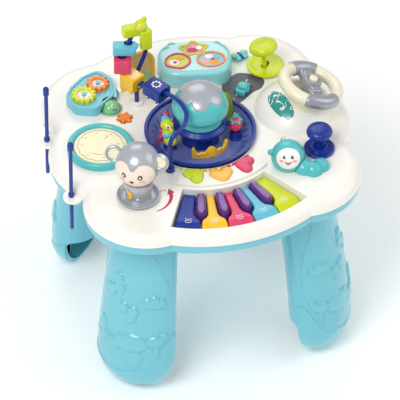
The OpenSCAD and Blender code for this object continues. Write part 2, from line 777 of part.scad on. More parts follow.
// Coral, bird, crown and leaf that stand in the dish, with the berry's cup
module dish_figures() color("#e8526f") {
    figure_place(0) {
        translate([0, 0, -lining_t]) cylinder(r = 3, h = lining_t + 1);
        difference() {
            cylinder(r = 8.5, h = fig_cup_h);
            translate([0, 0, cup_floor]) cylinder(r = 6.5, h = fig_cup_h);
            translate([0, 0, pin_seat]) cylinder(r = 2 + fit, h = fig_cup_h);
        }
    }
    figure_place(1) {
        foot_post();
        cylinder(r = 8, h = 12);
        translate([2, 6, 18]) sphere(8.5);
        translate([3, 3, 31.5]) sphere(8.5);
        translate([4, -1, 46]) sphere(8);
    }
    figure_place(2) {
        foot_post();
        rotate([0, 8, 90]) translate([-1.5, -7, 2]) cube([3, 14, 49]);
    }
    rotate([0, 0, figure_spots[3][0]]) {
        crown_r = figure_spots[3][1];
        translate([crown_r, 0, dish_floor_z]) cylinder(r = 3, h = 4);
        sector(crown_r - 2, crown_r + 2, -36, 36, dish_floor_z + lining_t, 13);
        for (a = [-28, 0, 28]) rotate([0, 0, a])
            translate([crown_r, 0, dish_floor_z + lining_t + 12 + (a == 0 ? 3 : 0)]) sphere(4.5);
        sector(crown_r - 2.6, crown_r + 2.6, -9, 9, dish_floor_z + lining_t, 16);
    }
    figure_place(4) {
        foot_post();
        cylinder(r = 2.5, h = 30);
        translate([-1, 0, 41]) rotate([0, 90, 0]) tube(9, 13, 5);
    }
    rotate([0, 0, 170]) translate([55, 0, dish_floor_z + lining_t]) {
        translate([0, 0, 1]) rotate([0, -9, 0]) cylinder(r = 3.3, h = 50);
        translate([-8.5, 0, 50]) sphere(4);
    }
}

module strawberry() color("#e3405f")
    figure_place(0) {
        translate([0, 0, pin_seat + gap]) cylinder(r = 2, h = fig_cup_h + berry_r * 0.8 - pin_seat);
        translate([0, 0, fig_cup_h + berry_r * 0.8]) sphere(berry_r);
        translate([0, 0, fig_cup_h + berry_r * 1.5]) sphere(berry_r * 0.8);
        translate([0, 0, fig_cup_h + berry_r * 2]) cylinder(r = 5, h = 5);
        translate([0, 0, fig_cup_h + berry_r * 2 + 4]) cylinder(r = 1.6, h = 8);
    }

// ---------- left side ----------

module drum_ring() color("#4fb6b4")
    at_xy(drum_pos, top_h) rotate_extrude() {
        translate([drum_r + gap, 0]) square([drum_ring_w, drum_ring_h - drum_ring_w / 2]);
        translate([drum_r + gap + drum_ring_w / 2, drum_ring_h - drum_ring_w / 2])
            circle(drum_ring_w / 2);
        translate([drum_r - 3, 0]) square([4, 1.2]);
    }

module drum_face() color("#fff4cf")
    at_xy(drum_pos, top_h) {
        translate([0, 0, 3.6]) cylinder(r = drum_r, h = 3);
        push_button(1.2, 3, flange_r) circle(stem_r);
    }

module stick_places() for (s = [-1, 1]) translate([stick_pos.x, s * stick_pos.y, 0]) children();

module drumstick() {
    tab_top = seam_z + tab_t;
    below = 59;
    translate([0, 0, tab_top - below]) cylinder(r = stick_r, h = stick_len - stick_tip_r);
    translate([0, 0, tab_top + gap]) cylinder(r = stick_tip_r, h = 6);
    translate([0, 0, tab_top - below + stick_len - 3 * stick_tip_r]) {
        sphere(stick_tip_r);
        cylinder(r = stick_tip_r, h = 2 * stick_tip_r);
        translate([0, 0, 2 * stick_tip_r]) sphere(stick_tip_r);
    }
}
module drumstick_back() color("#1b3f94") translate([stick_pos.x, stick_pos.y, 0]) drumstick();
module drumstick_front() color("#1b3f94") translate([stick_pos.x, -stick_pos.y, 0]) drumstick();

case_points = [[-148, 111], [-144, 95], [-128, 88], [-102, 101], [-99, 130], [-106, 142],
    [-122, 137], [-140, 122]];
case_round = 12;

module gear_case() color("#56bcc6") {
    difference() {
        translate([0, 0, top_h]) linear_extrude(gear_case_h) soft_outline(case_points, case_round);
        translate([0, 0, top_h - e])
            linear_extrude(gear_case_h - wall + e) soft_outline(case_points, case_round - wall);
        at_xy(roller_pos, top_h) sphere(roller_r + 4.5);
    }
    for (p = [gear_a_pos, gear_b_pos])
        at_xy(p, top_h + gear_case_h - wall) cylinder(r = gear_pin_r, h = gear_h + wall + 1);
}

module gear(pitch, teeth, turn)
    difference() {
        union() {
            cylinder(r = pitch - tooth_r - 0.3, h = gear_h);
            for (i = [0:teeth - 1]) rotate([0, 0, turn + i * 360 / teeth]) {
                translate([pitch, 0, 0]) cylinder(r = tooth_r, h = gear_h);
                translate([pitch - 4, -tooth_r, 0]) cube([4, 2 * tooth_r, gear_h]);
            }
        }
        translate([0, 0, -e]) cylinder(r = gear_pin_r + fit, h = gear_h + 2 * e);
    }

mesh_dir = atan2(gear_b_pos.y - gear_a_pos.y, gear_b_pos.x - gear_a_pos.x);

module gear_yellow() color("#d9e021")
    at_xy(gear_a_pos, top_h + gear_case_h + gap) gear(pitch_a, teeth_a, mesh_dir);
module gear_orange() color("#f28a22")
    at_xy(gear_b_pos, top_h + gear_case_h + gap) gear(pitch_b, teeth_b, mesh_dir + 180 + 180 / teeth_b);

module frog_roller() color("#7fcf86")
    at_xy(roller_pos, top_h) {
        sphere(roller_r);
        rotate([0, 90, 50]) cylinder(r = 1.5, h = 2 * roller_r + 5, center = true);
    }

module flower_button() color("#f37a1f")
    at_xy(flower_pos, top_h) {
        push_button(0, 3.5, petal_at + 3.5) petals(petal_count, petal_r, petal_at);
    }

ear_at = 34.5;
ear_rise = 13;
ear_r = 12.5;

module mouse() color("#b9bdc9")
    at_xy(mouse_pos, top_h) difference() {
        union() {
            rotate_extrude() translate([0, gap]) polygon([[0, 0], [saucer_r - 8, 0], [saucer_r, 5],
                [saucer_r, 7], [saucer_r - 2, 7], [saucer_r - 9, 2.5], [0, 2.5]]);
            translate([0, 0, 2]) cylinder(r1 = 17.5, r2 = 22.5, h = mouse_head_z - 27);
            translate([0, 0, mouse_head_z]) sphere(mouse_r);
            rotate([0, 0, mouse_faces]) for (s = [-1, 1])
                translate([4, s * ear_at, mouse_head_z + ear_rise]) rotate([0, -90, 0])
                    cylinder(r = ear_r, h = 8);
        }
        translate([0, 0, -e]) cylinder(r = post_r + fit, h = 24.3 + e);
        translate([0, 0, mouse_head_z]) sphere(mouse_r - 3);
    }

// ---------- bead maze ----------

function spline(a, b, c, d, t) =
    0.5 * ((2 * b) + (c - a) * t + (2 * a - 5 * b + 4 * c - d) * t * t
        + (3 * b - a - 3 * c + d) * t * t * t);
function route_at(k, t) =
    let (m = len(maze_route))
    spline(maze_route[max(k - 1, 0)], maze_route[k], maze_route[k + 1],
        maze_route[min(k + 2, m - 1)], t);
wire_points = concat(
    [for (k = [0:len(maze_route) - 2], j = [0:wire_steps - 1]) route_at(k, j / wire_steps)],
    [maze_route[len(maze_route) - 1]]);
function unit(v) = v / norm(v);
function tangent(k) =
    unit(wire_points[min(k + 1, len(wire_points) - 1)] - wire_points[max(k - 1, 0)]);
// a side vector carried along the tube so that its rings don't twist
function side_vectors(k, last) =
    k == len(wire_points) ? [] :
    let (t = tangent(k), s = unit(last - t * (last * t))) concat([s], side_vectors(k + 1, s));

module maze_tube() color("#17408f") {
    sides = side_vectors(0, [1, 0, 0]);
    rings = len(wire_points);
    n = wire_sides;
    points = [for (k = [0:rings - 1], i = [0:n - 1])
        let (t = tangent(k), s = sides[k], u = cross(t, s), w = i * 360 / n)
        wire_points[k] + wire_r * (s * cos(w) + u * sin(w))];
    faces = concat(
        [[for (i = [0:n - 1]) i]],
        [[for (i = [0:n - 1]) (rings - 1) * n + n - 1 - i]],
        [for (k = [0:rings - 2], i = [0:n - 1])
            [k * n + i, (k + 1) * n + i, (k + 1) * n + (i + 1) % n, k * n + (i + 1) % n]]);
    polyhedron(points = points, faces = faces, convexity = 10);
}

module on_tube(k)
    let (d = maze_route[k + 1] - maze_route[k - 1])
    translate(maze_route[k]) rotate([0, acos(d.z / norm(d)), atan2(d.y, d.x)]) children();

// Hole for the tube: a narrow ring at a route point that widens both ways, because the
// tube bends inside the block
module tube_hole(k, flare)
    on_tube(k) {
        cylinder(r = wire_r + bore_gap, h = 4, center = true);
        for (s = [0, 1]) mirror([0, 0, s]) translate([0, 0, 1])
            cylinder(r1 = wire_r + bore_gap, r2 = wire_r + bore_gap + 24 * flare, h = 24);
    }

// Block about a route point, with two stub wheels low on each side
module wheeled_block(k, turn, size, flare)
    difference() {
        translate(maze_route[k]) rotate([0, 0, turn]) {
            cube(size, center = true);
            for (s = [-1, 1]) translate([s * size.x / 4, 0, -size.z / 2]) rotate([90, 0, 0])
                cylinder(r = 4, h = size.y - 2, center = true);
        }
        tube_hole(k, flare);
    }

module block_blue() color("#17408f") wheeled_block(10, -60, [31, block_w, 20], 0.18);
module block_yellow() color("#f4c13a") wheeled_block(13, -62, [block_w, block_w, 22], 0.45);
module block_pink() color("#e8526f")
    difference() {
        translate(maze_route[16] + [0, 0, 1]) rotate([0, 0, -17])
            cube([block_w, block_w, 22], center = true);
        tube_hole(16, 0.25);
    }

// Low block with an arm that rises beside the tube
module block_teal() color("#45b5b8")
    difference() {
        translate(maze_route[18]) rotate([0, 0, -17]) {
            translate([-17, -8, -4]) cube([32, 16, 15]);
            translate([5, -11, 4]) rotate([0, 25, 0]) cube([8, 6.5, 18]);
        }
        tube_hole(18, 0.25);
    }

// Long hollow bar that straddles the tube's bend on a thin rib, with a body that hangs in
// front of the tube and a small animal head
module block_lime() color("#c3d82c")
    difference() {
        translate(maze_route[22]) {
            translate([-26, -7.5, -7]) cube([36, 15, 15]);
            translate([-4, -17, -26]) cube([17, 10.5, 33]);
            translate([-2, -9, 14]) sphere(9);
            translate([5, -3, 19]) sphere(4);
        }
        translate(maze_route[22]) {
            translate([-24, -6.4, -8]) cube([23, 12.8, 13.5]);
            translate([1, -6.4, -8]) cube([12, 12.8, 13.5]);
        }
        on_tube(22) cylinder(r = wire_r + bore_gap + 0.7, h = 6, center = true);
    }

// ---------- arched page ----------

module arched_page() color("#f2c23c")
    at_xy(page_pos, page_pin_z) rotate([0, 0, page_turn]) {
        rotate([90, 0, 0]) translate([0, 0, -page_t / 2]) linear_extrude(page_t) {
            translate([-page_w / 2, -2]) square([page_w, page_h - page_w / 2 + 2]);
            translate([0, page_h - page_w / 2]) circle(page_w / 2);
        }
        rotate([0, 90, 0]) cylinder(r = pin_r, h = page_w + 9, center = true);
    }

// ---------- music box ----------

module box_outline(inset)
    let (w = box_w - 2 * inset, d = box_d - 2 * inset, r = box_corner - inset) {
        square([w - 2 * r, d], center = true);
        square([w, d - 2 * r], center = true);
        for (x = [-1, 1], y = [-1, 1]) translate([x * (w / 2 - r), y * (d / 2 - r)]) circle(r);
    }

module box_place(z) at_xy(box_pos, z) rotate([0, 0, box_turn]) children();

module music_box() color("#7fd0d8")
    box_place(top_h) difference() {
        linear_extrude(box_h) box_outline(0);
        translate([0, 0, -e]) linear_extrude(box_h - wall + e) box_outline(wall);
    }

window_spots = [[0, 15], [-24.5, -10], [22.5, -9]];

module box_windows() color("#f0b03a")
    box_place(top_h + box_h) {
        linear_extrude(1.5) box_outline(5);
        translate([0, 0, 1.5]) linear_extrude(2.5) difference() {
            for (p = window_spots) translate(p) circle(16);
            for (p = window_spots) translate(p) circle(13);
        }
    }

// ---------- right side ----------

module butterfly() color("#4fb9c0")
    at_xy(butterfly_pos, top_h + gap) {
        for (s = [-1, 1]) rotate([0, 0, 15]) {
            translate([s * 6.5, 3, 2]) cylinder(r = 6, h = 4);
            translate([s * 5, -4, 2]) cylinder(r = 4.5, h = 4);
        }
        cylinder(r = 4, h = 7);
        translate([0, 0, -wall - 2 * gap - flange_t])
            cylinder(r = butterfly_pin_r, h = wall + 2 * gap + flange_t + 1);
        translate([0, 0, -wall - 2 * gap - flange_t]) cylinder(r = flange_r, h = flange_t);
    }

module toy_car() color("#4cb4bf")
    at_xy(car_pos, top_h + gap) rotate([0, 0, car_dir]) {
        translate([-12, -9, 0]) cube([24, 18, 8]);
        translate([-7, -7.5, 7]) cube([13, 15, 6]);
        translate([0, 0, -wall - 2 * gap - flange_t])
            cylinder(r = car_pin_r, h = wall + 2 * gap + flange_t + 1);
        translate([0, 0, -wall - 2 * gap - flange_t]) cylinder(r = flange_r, h = flange_t);
    }

// Disc with a flat top, a flat bottom and a round edge
module cushion(r, edge_r)
    rotate_extrude() {
        translate([r - edge_r, 0]) intersection() {
            circle(edge_r);
            translate([0, -edge_r]) square(2 * edge_r);
        }
        translate([0, -edge_r]) square([r - edge_r, 2 * edge_r]);
    }

// Lever with its ball, cross pin and cushion head
module shift_lever() color("#c8da1e")
    at_xy(lever_pos, lever_pivot_z) rotate([0, -lever_lean, lever_slot_dir]) {
        sphere(8);
        rotate([90, 0, 0]) cylinder(r = pin_r, h = 30, center = true);
        cylinder(r = lever_stick_r, h = lever_head_z + top_h - lever_pivot_z);
        translate([0, 0, lever_head_z + top_h - lever_pivot_z])
            rotate([-12, 12, 0]) cushion(20.5, 7);
    }

// Guard disc that the lever leans along in a slot
module lever_guard() color("#c8da1e")
    at_xy(lever_pos, top_h) rotate([0, 0, lever_slot_dir]) difference() {
        rotate_extrude() polygon([[0, 0], [guard_r - 6, 0], [guard_r, guard_h - 3],
            [guard_r, guard_h], [guard_r - 4, guard_h], [14, guard_h - 1], [0, guard_h - 1]]);
        reach = (guard_h + top_h - lever_pivot_z) * tan(lever_lean) + 1;
        translate([-reach, -lever_stick_r - 1, -e]) cube([2 * reach, 2 * lever_stick_r + 2, 20]);
        for (s = [-1, 1]) translate([s * reach, 0, -e]) cylinder(r = lever_stick_r + 1, h = 20);
    }

console_ball_r = (console_r * console_r + console_h * console_h) / (2 * console_h);

module console_cap(t)
    intersection() {
        translate([0, 0, top_h + console_h - console_ball_r]) sphere(console_ball_r - t);
        translate([0, 0, top_h]) cylinder(r = console_r + e, h = console_h + e);
    }

column_r = 6;
wheel_hub_r = 13;
hub_low = -9;
hub_high = 12;
column_top = 3;
horn_r = 6.5;

module at_wheel() at_xy(wheel_pos, top_h + wheel_z) rotate([0, wheel_tilt, 0]) children();

// Domed console with the collar and the column that the wheel turns on
module steering_console() color("#f3f0e8")
    difference() {
        union() {
            at_xy(console_pos, 0) console_cap(0);
            at_wheel() translate([0, 0, -34]) cylinder(r = 27, h = 21);
            at_wheel() translate([0, 0, -34]) cylinder(r = column_r, h = 34 + column_top);
        }
        at_xy(console_pos, -e) console_cap(wall);
        at_xy(console_pos, top_h - 40) cylinder(r = 90, h = 40);
    }

module steering_wheel() color("#f1ead2")
    at_wheel() {
        rotate_extrude() translate([wheel_r, 0]) circle(rim_tube_r);
        for (turn = [90, -90]) rotate([0, 0, turn - 29])
            rotate_extrude(angle = turn > 0 ? 58 : 70) translate([wheel_r, 0]) circle(rim_tube_r + 1.5);
        difference() {
            union() {
                translate([0, 0, hub_low]) cylinder(r = wheel_hub_r, h = hub_high - hub_low);
                translate([-10, -wheel_r, -6]) cube([20, 2 * wheel_r, 12]);
                translate([-8, -24, -6]) cube([16, 48, 15]);
            }
            translate([0, 0, hub_low - e])
                cylinder(r = column_r + fit, h = column_top - hub_low + gap + e);
            translate([0, 0, column_top]) cylinder(r = horn_r + fit, h = 20);
        }
    }

module horn_button() color("#f3ecd0")
    at_wheel() translate([0, 0, column_top + 2 + gap]) cylinder(r = horn_r, h = 10);

plunger_head_r = 18.4;
plunger_head_z = 33;

module plunger() color("#1b45a0")
    at_xy(plunger_pos, top_h) {
        translate([0, 0, -wall - gap - flange_t]) cylinder(r = plunger_stem_r + 3, h = flange_t);
        translate([0, 0, -wall - gap - flange_t])
            cylinder(r = plunger_stem_r, h = plunger_head_z + wall + 2);
        translate([0, 0, plunger_head_z]) cushion(plunger_head_r, 7);
    }

module plunger_guard() color("#1b45a0")
    at_xy(plunger_pos, top_h) rotate_extrude() polygon([[plunger_stem_r + button_gap, 0],
        [plunger_guard_r - 2, 0], [plunger_guard_r, 2], [plunger_guard_r, 5],
        [plunger_guard_r - 3, 6], [13, 4.5], [12, 8], [plunger_stem_r + button_gap, 8]]);

module bug_head() color("#5cc5bf")
    at_xy(bug_pos, top_h) {
        intersection() {
            translate([0, 0, 12]) sphere(bug_r);
            translate([0, 0, gap]) cylinder(r = bug_r + e, h = 60);
        }
        translate([-3, 14, 30]) sphere(4);
        translate([-3, 13, 33]) cylinder(r = 2, h = 7);
        translate([-24, 4, 22]) sphere(4.5);
        translate([0, 0, -wall - gap - flange_t]) cylinder(r = stem_r, h = wall + 5);
        translate([0, 0, -wall - gap - flange_t]) cylinder(r = flange_r, h = flange_t);
    }

tail_lobes = [[17, -19, 14], [28, -27, 13], [40, -22, 12]];

module bug_tail() color("#5cc5bf")
    at_xy(bug_pos, top_h) difference() {
        for (lobe = tail_lobes) intersection() {
            translate([lobe.x, lobe.y, 2]) sphere(lobe.z);
            translate([lobe.x, lobe.y, 0]) cylinder(r = lobe.z + e, h = 20);
        }
        translate([0, 0, 12]) sphere(bug_r + gap);
    }

top_shell();
bottom_tray();
leg_front_left();
leg_front_right();
leg_back_left();
leg_back_right();
case_screws();
battery_door();
battery_cells();
circuit_board();
speaker();
contact_pads();
key_blue();
key_yellow();
key_pink();
key_turquoise();
key_lime();
key_sharp_1();
key_sharp_2();
key_sharp_3();
key_sharp_4();
heart_lime();
heart_orange();
heart_pink();
play_dish();
dish_lining();
dome_shell();
dome_cap();
dish_figures();
strawberry();
drum_ring();
drum_face();
drumstick_back();
drumstick_front();
gear_case();
gear_yellow();
gear_orange();
frog_roller();
flower_button();
mouse();
maze_tube();
block_blue();
block_yellow();
block_pink();
block_teal();
block_lime();
arched_page();
music_box();
box_windows();
butterfly();
toy_car();
shift_lever();
lever_guard();
steering_console();
steering_wheel();
horn_button();
plunger();
plunger_guard();
bug_head();
bug_tail();
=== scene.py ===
"""Dresses the musical activity table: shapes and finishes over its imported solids.

Shapes are grids of points, worked out in millimetres and put into meshes in metres.
"""
from functools import partial, partialmethod

import bmesh
import bpy
import numpy as np
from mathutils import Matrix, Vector


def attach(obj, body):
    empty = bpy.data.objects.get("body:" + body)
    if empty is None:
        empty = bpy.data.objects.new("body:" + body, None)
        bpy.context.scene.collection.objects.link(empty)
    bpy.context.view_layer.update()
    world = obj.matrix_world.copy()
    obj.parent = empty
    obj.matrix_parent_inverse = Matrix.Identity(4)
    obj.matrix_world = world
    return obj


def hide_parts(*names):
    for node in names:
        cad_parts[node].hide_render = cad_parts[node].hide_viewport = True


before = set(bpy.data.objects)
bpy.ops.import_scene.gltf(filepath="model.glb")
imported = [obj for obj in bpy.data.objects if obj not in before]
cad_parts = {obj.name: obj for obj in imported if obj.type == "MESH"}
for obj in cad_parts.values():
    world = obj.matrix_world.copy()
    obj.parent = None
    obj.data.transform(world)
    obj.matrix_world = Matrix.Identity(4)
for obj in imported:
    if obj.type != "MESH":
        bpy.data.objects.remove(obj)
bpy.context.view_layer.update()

TOP = 300.0          # height of the play surface
PRINT = 299.95       # underside of the artwork printed on it
TAU = 2 * np.pi


# ---------- numbers ----------

def turn(points, degrees, axis):
    """Points turned about axis 0, 1 or 2 through the origin."""
    a = np.radians(degrees)
    j, k = (axis + 1) % 3, (axis + 2) % 3
    rot = np.eye(3)
    rot[[j, k], [j, k]] = np.cos(a)
    rot[j, k], rot[k, j] = -np.sin(a), np.sin(a)
    return points @ rot.T


turn_x, turn_y, turn_z = (partial(turn, axis=k) for k in range(3))


def unit(v):
    """Vectors scaled to length one along the last axis."""
    return v / np.maximum(np.linalg.norm(v, axis=-1, keepdims=True), 1e-9)


def angles(n):
    """n angles round a full turn, in radians."""
    return np.linspace(0, TAU, n, endpoint=False)


def quarter(steps):
    """Angles of a quarter turn, both ends included."""
    return np.linspace(0, np.pi / 2, steps)


# ---------- outlines: closed rings of (x, y), anticlockwise ----------

def spun(radius, t):
    """Points (radius cos t, radius sin t)."""
    return np.stack([radius * np.cos(t), radius * np.sin(t)], -1)


def ring(r, n):
    """Circle of n points."""
    return spun(r, angles(n))


def oval(a, b, n, power=2.0):
    """Superellipse: a sign(cos t)|cos t|^(2/p), b sign(sin t)|sin t|^(2/p)."""
    c, s = np.cos(angles(n)), np.sin(angles(n))
    return np.stack([a * np.sign(c) * abs(c) ** (2 / power),
                     b * np.sign(s) * abs(s) ** (2 / power)], -1)


def lobed(r, depth, lobes, n=144, aim=0.0):
    """Lobed ring: radius r + depth cos(lobes (t - aim))."""
    t = angles(n)
    return spun(r + depth * np.cos(lobes * (t - np.radians(aim))), t)


def spline(a, b, c, d, steps):
    """Catmull-Rom pieces from each b to each c, sampled at steps points."""
    size = a.shape[1]
    t = np.linspace(0, 1, steps, endpoint=False)[None, :, None]
    a, b, c, d = (q[:, None, :] for q in (a, b, c, d))
    curve = 0.5 * (2 * b + (c - a) * t + (2 * a - 5 * b + 4 * c - d) * t ** 2
                   + (3 * b - a - 3 * c + d) * t ** 3)
    return curve.reshape(-1, size)


def even(curve, n, closed=True):
    """The curve sampled again at n points spaced evenly along its length."""
    loop = np.vstack([curve, curve[:1]]) if closed else curve
    run = np.concatenate([[0], np.cumsum(np.linalg.norm(np.diff(loop, axis=0), axis=1))])
    want = np.linspace(0, run[-1], n, endpoint=not closed)
    return np.stack([np.interp(want, run, loop[:, k]) for k in range(loop.shape[1])], -1)


def flowing(points, n):
    """Closed smooth curve through the points."""
    p = np.asarray(points, float)
    return even(spline(*(np.roll(p, k, 0) for k in (1, 0, -1, -2)), 24), n)


def flowing_path(points, n):
    """Open smooth curve through the points."""
    p = np.asarray(points, float)
    q = np.vstack([2 * p[0] - p[1], p, 2 * p[-1] - p[-2]])
    curve = spline(*(q[k:len(q) - 3 + k] for k in range(4)), 16)
    return even(np.vstack([curve, p[-1:]]), n, closed=False)


def rounded(corners, radius, steps, n=None):
    """Polygon whose corners are replaced by quadratic arcs that start radius away."""
    p = np.asarray(corners, float)
    back, ahead = np.roll(p, 1, 0) - p, np.roll(p, -1, 0) - p
    reach = np.broadcast_to(np.asarray(radius, float), (len(p),))[:, None]
    lim = 0.49 * np.minimum(np.linalg.norm(back, axis=1), np.linalg.norm(ahead, axis=1))
    reach = np.minimum(reach, lim[:, None])
    start, end = p + unit(back) * reach, p + unit(ahead) * reach
    t = np.linspace(0, 1, steps)[None, :, None]
    arcs = (1 - t) ** 2 * start[:, None] + 2 * t * (1 - t) * p[:, None] + t ** 2 * end[:, None]
    curve = arcs.reshape(-1, 2)
    return even(curve, n) if n else curve


def box_line(a, b, corner, n=80):
    """Rounded rectangle outline of a by b about the origin."""
    x, y = a / 2, b / 2
    return rounded([(-x, -y), (x, -y), (x, y), (-x, y)], corner * 1.35, 8, n)


def grown(points, r):
    """Outline at distance r round a convex polygon, from its farthest point each way."""
    way, points = ring(1.0, 720), np.asarray(points, float)
    far = points[np.argmax(way @ points.T, axis=1)]
    return even(far + way * r, 140)


def inward(outline):
    """Unit normals that point into an anticlockwise ring."""
    d = unit(np.roll(outline, -1, 0) - np.roll(outline, 1, 0))
    return np.stack([-d[:, 1], d[:, 0]], -1)


# ---------- grids of points ----------

def layers(rows):
    """Grid whose rows are outlines, each at its own height."""
    return np.stack([np.column_stack([xy, np.full(len(xy), z)]) for xy, z in rows])


def rolled(outline, into, edge, z, turns):
    """Rows round an edge: inset |edge| (1 - cos t) at z - edge (1 - sin t)."""
    return [(outline + into * abs(edge) * (1 - np.cos(t)), z - edge * (1 - np.sin(t)))
            for t in turns]


def moulding(outline, z0, z1, edge, crown=0.0, foot=0.3, centre=None, steps=6):
    """Plate over an outline with a rounded upper edge and a face crowned by 1 - s^2."""
    middle = outline.mean(0) if centre is None else np.asarray(centre, float)
    into = inward(outline)
    rows = [(np.broadcast_to(middle, outline.shape), z0), (outline + into * foot, z0),
            (outline, z0 + foot), (outline, z1 - edge)]
    rows += rolled(outline, into, edge, z1, quarter(steps)[1:])
    top = outline + into * edge
    rows += [(middle + (top - middle) * s, z1 + crown * (1 - s * s))
             for s in (0.8, 0.55, 0.3, 0.0)]
    return layers(rows)


def pebble(outline, z0, z1, edge, foot=None):
    """Closed plate over an outline with both edges rounded."""
    low = edge if foot is None else foot
    into, middle, turns = inward(outline), outline.mean(0), quarter(6)
    rows = [(middle + (outline + into * low - middle) * s, z0) for s in (0, 0.5)]
    rows += rolled(outline, into, -low, z0, turns[::-1])
    rows += rolled(outline, into, edge, z1, turns)
    top = outline + into * edge
    rows += [(middle + (top - middle) * s, z1) for s in (0.8, 0.5, 0.25, 0)]
    return layers(rows)


def band(outer, inner, z0, z1, edge, steps):
    """Closed band between two rings of equal count, with both upper edges rounded."""
    turns = quarter(steps)
    return layers([(outer, z0)] + rolled(outer, inward(outer), edge, z1, turns)
                  + rolled(inner, -inward(inner), edge, z1, turns[::-1])
                  + [(inner, z0), (outer, z0)])


def hoop(outer, inner, z0, z1, edge):
    """Closed band between two rings of equal count, with all four edges rounded."""
    a, b, turns = inward(outer), -inward(inner), quarter(5)
    rows = rolled(outer, a, edge, z1, turns) + rolled(inner, b, edge, z1, turns[::-1])
    rows += rolled(inner, b, -edge, z0, turns) + rolled(outer, a, -edge, z0, turns[::-1])
    return layers(rows + rows[:1])


def turned(profile, n):
    """Surface of revolution of (r, z) points about the z axis."""
    p = np.asarray(profile, float)
    t = angles(n)[None, :]
    r = p[:, :1] * np.ones(t.shape)
    return np.stack([r * np.cos(t), r * np.sin(t), np.broadcast_to(p[:, 1:2], r.shape)], -1)


def arc(cx, cz, r, a0, a1, n):
    """Profile points along an arc of (r, z), between two angles in degrees."""
    return spun(r, np.radians(np.linspace(a0, a1, n))) + [cx, cz]


def ball(rx, ry, rz, n=40, m=22, squash=2.0):
    """Superellipsoid with poles on z."""
    v = np.linspace(-np.pi / 2, np.pi / 2, m)
    c, s = np.cos(v), np.sin(v)
    c, s = abs(c) ** (2 / squash), np.sign(s) * abs(s) ** (2 / squash)
    flat = oval(1, 1, n, squash)
    return np.stack([np.outer(c, flat[:, 0]) * rx, np.outer(c, flat[:, 1]) * ry,
                     np.repeat(s[:, None], n, 1) * rz], -1)


def carried(path, section):
    """One ring of (side, up) points for each point of a path, carried along it.

    The side vector is tangent x z, and the carried up vector is side x tangent.
    """
    tangent = unit(np.gradient(path, axis=0))
    side = unit(np.cross(tangent, np.broadcast_to([0.0, 0.0, 1.0], path.shape)))
    lift = np.cross(side, tangent)
    return path[:, None] + side[:, None] * section[..., :1] + lift[:, None] * section[..., 1:]


def rope(path, radius, sides, closed=False):
    """Round tube whose frame is carried along the path without twist."""
    ahead = np.roll(path, -1, 0) - np.roll(path, 1, 0) if closed else np.gradient(path, axis=0)
    tangent = unit(ahead)
    side = np.cross(tangent[0], [0.3, 0.2, 1.0] if abs(tangent[0][2]) < 0.9 else [1.0, 0, 0])
    carried_sides = []
    for t in tangent:
        side = side - t * (side @ t)
        side = side / np.linalg.norm(side)
        carried_sides.append(side)
    side = np.array(carried_sides)
    lift = np.cross(tangent, side)
    w = angles(sides)[None, :, None]
    r = np.broadcast_to(np.asarray(radius, float), (len(path),))[:, None, None]
    return path[:, None] + r * (side[:, None] * np.cos(w) + lift[:, None] * np.sin(w))


def capped(grid):
    """The grid with its first and last rows drawn together to a point."""
    first, last = (np.broadcast_to(row.mean(0), row.shape)[None] for row in (grid[0], grid[-1]))
    return np.concatenate([first, grid, last])


def pen(points, width, z, n=40):
    """Thin printed line along a smooth path, tapered at the ends."""
    path = flowing_path(np.column_stack([points, np.full(len(points), z)]), n)
    end = np.minimum(np.linspace(0, 1, n), np.linspace(1, 0, n))
    w = width * np.minimum(1, 4 * end + 0.25)
    flat = np.array([[-1, -0.25], [1, -0.25], [1, 0.15], [0.7, 0.3], [-0.7, 0.3], [-1, 0.15]])
    return capped(carried(path, w[:, None, None] * flat[None]))


def on_ball(outline, r, azimuth, elevation, lift, roll=0.0):
    """A flat outline laid as a thin plate on a ball about the origin.

    Its x is the right, and its y the up, of someone who looks from azimuth and elevation.
    """
    out = turn_z(np.column_stack([outline, np.zeros(len(outline))]), roll)[:, :2]
    rows = []
    for s, depth in ((0, -0.5), (0.5, -0.5), (1, -0.5), (1, lift * 0.6), (0.94, lift),
                     (0.7, lift), (0.35, lift), (0, lift)):
        xy = out.mean(0) + (out - out.mean(0)) * s
        z = np.sqrt(np.maximum(r * r - (xy ** 2).sum(-1), 0.01))
        rows.append(unit(np.column_stack([xy, z])) * (r + depth))
    a, e = np.radians(azimuth), np.radians(elevation)
    face = np.array([np.cos(a) * np.cos(e), np.sin(a) * np.cos(e), np.sin(e)])
    right = np.array([-np.sin(a), np.cos(a), 0])
    return np.stack(rows) @ np.stack([right, np.cross(face, right), face])


def along_x(grid):
    """Grid whose z axis is laid along x, its x along y and its y along z."""
    return np.stack([grid[..., 2], grid[..., 0], grid[..., 1]], -1)


def along_y(grid):
    """Grid whose z axis is laid against y, its y along z."""
    return np.stack([grid[..., 0], -grid[..., 2], grid[..., 1]], -1)


def knurled(grid, depth, waves, share):
    """Radius cut by depth (0.5 + 0.5 cos(waves t)) times share(radius)."""
    t = np.arctan2(grid[..., 1], grid[..., 0])
    cut = depth * share(np.hypot(grid[..., 0], grid[..., 1]))
    grid[..., :2] *= (1 - cut * (0.5 + 0.5 * np.cos(waves * t)))[..., None]
    return grid


# ---------- pieces ----------

def placed(x, y, z=TOP, yaw=0.0):
    """Placement of a grid: turned about z, then moved."""
    return lambda grid: turn_z(grid, yaw) + [x, y, z]


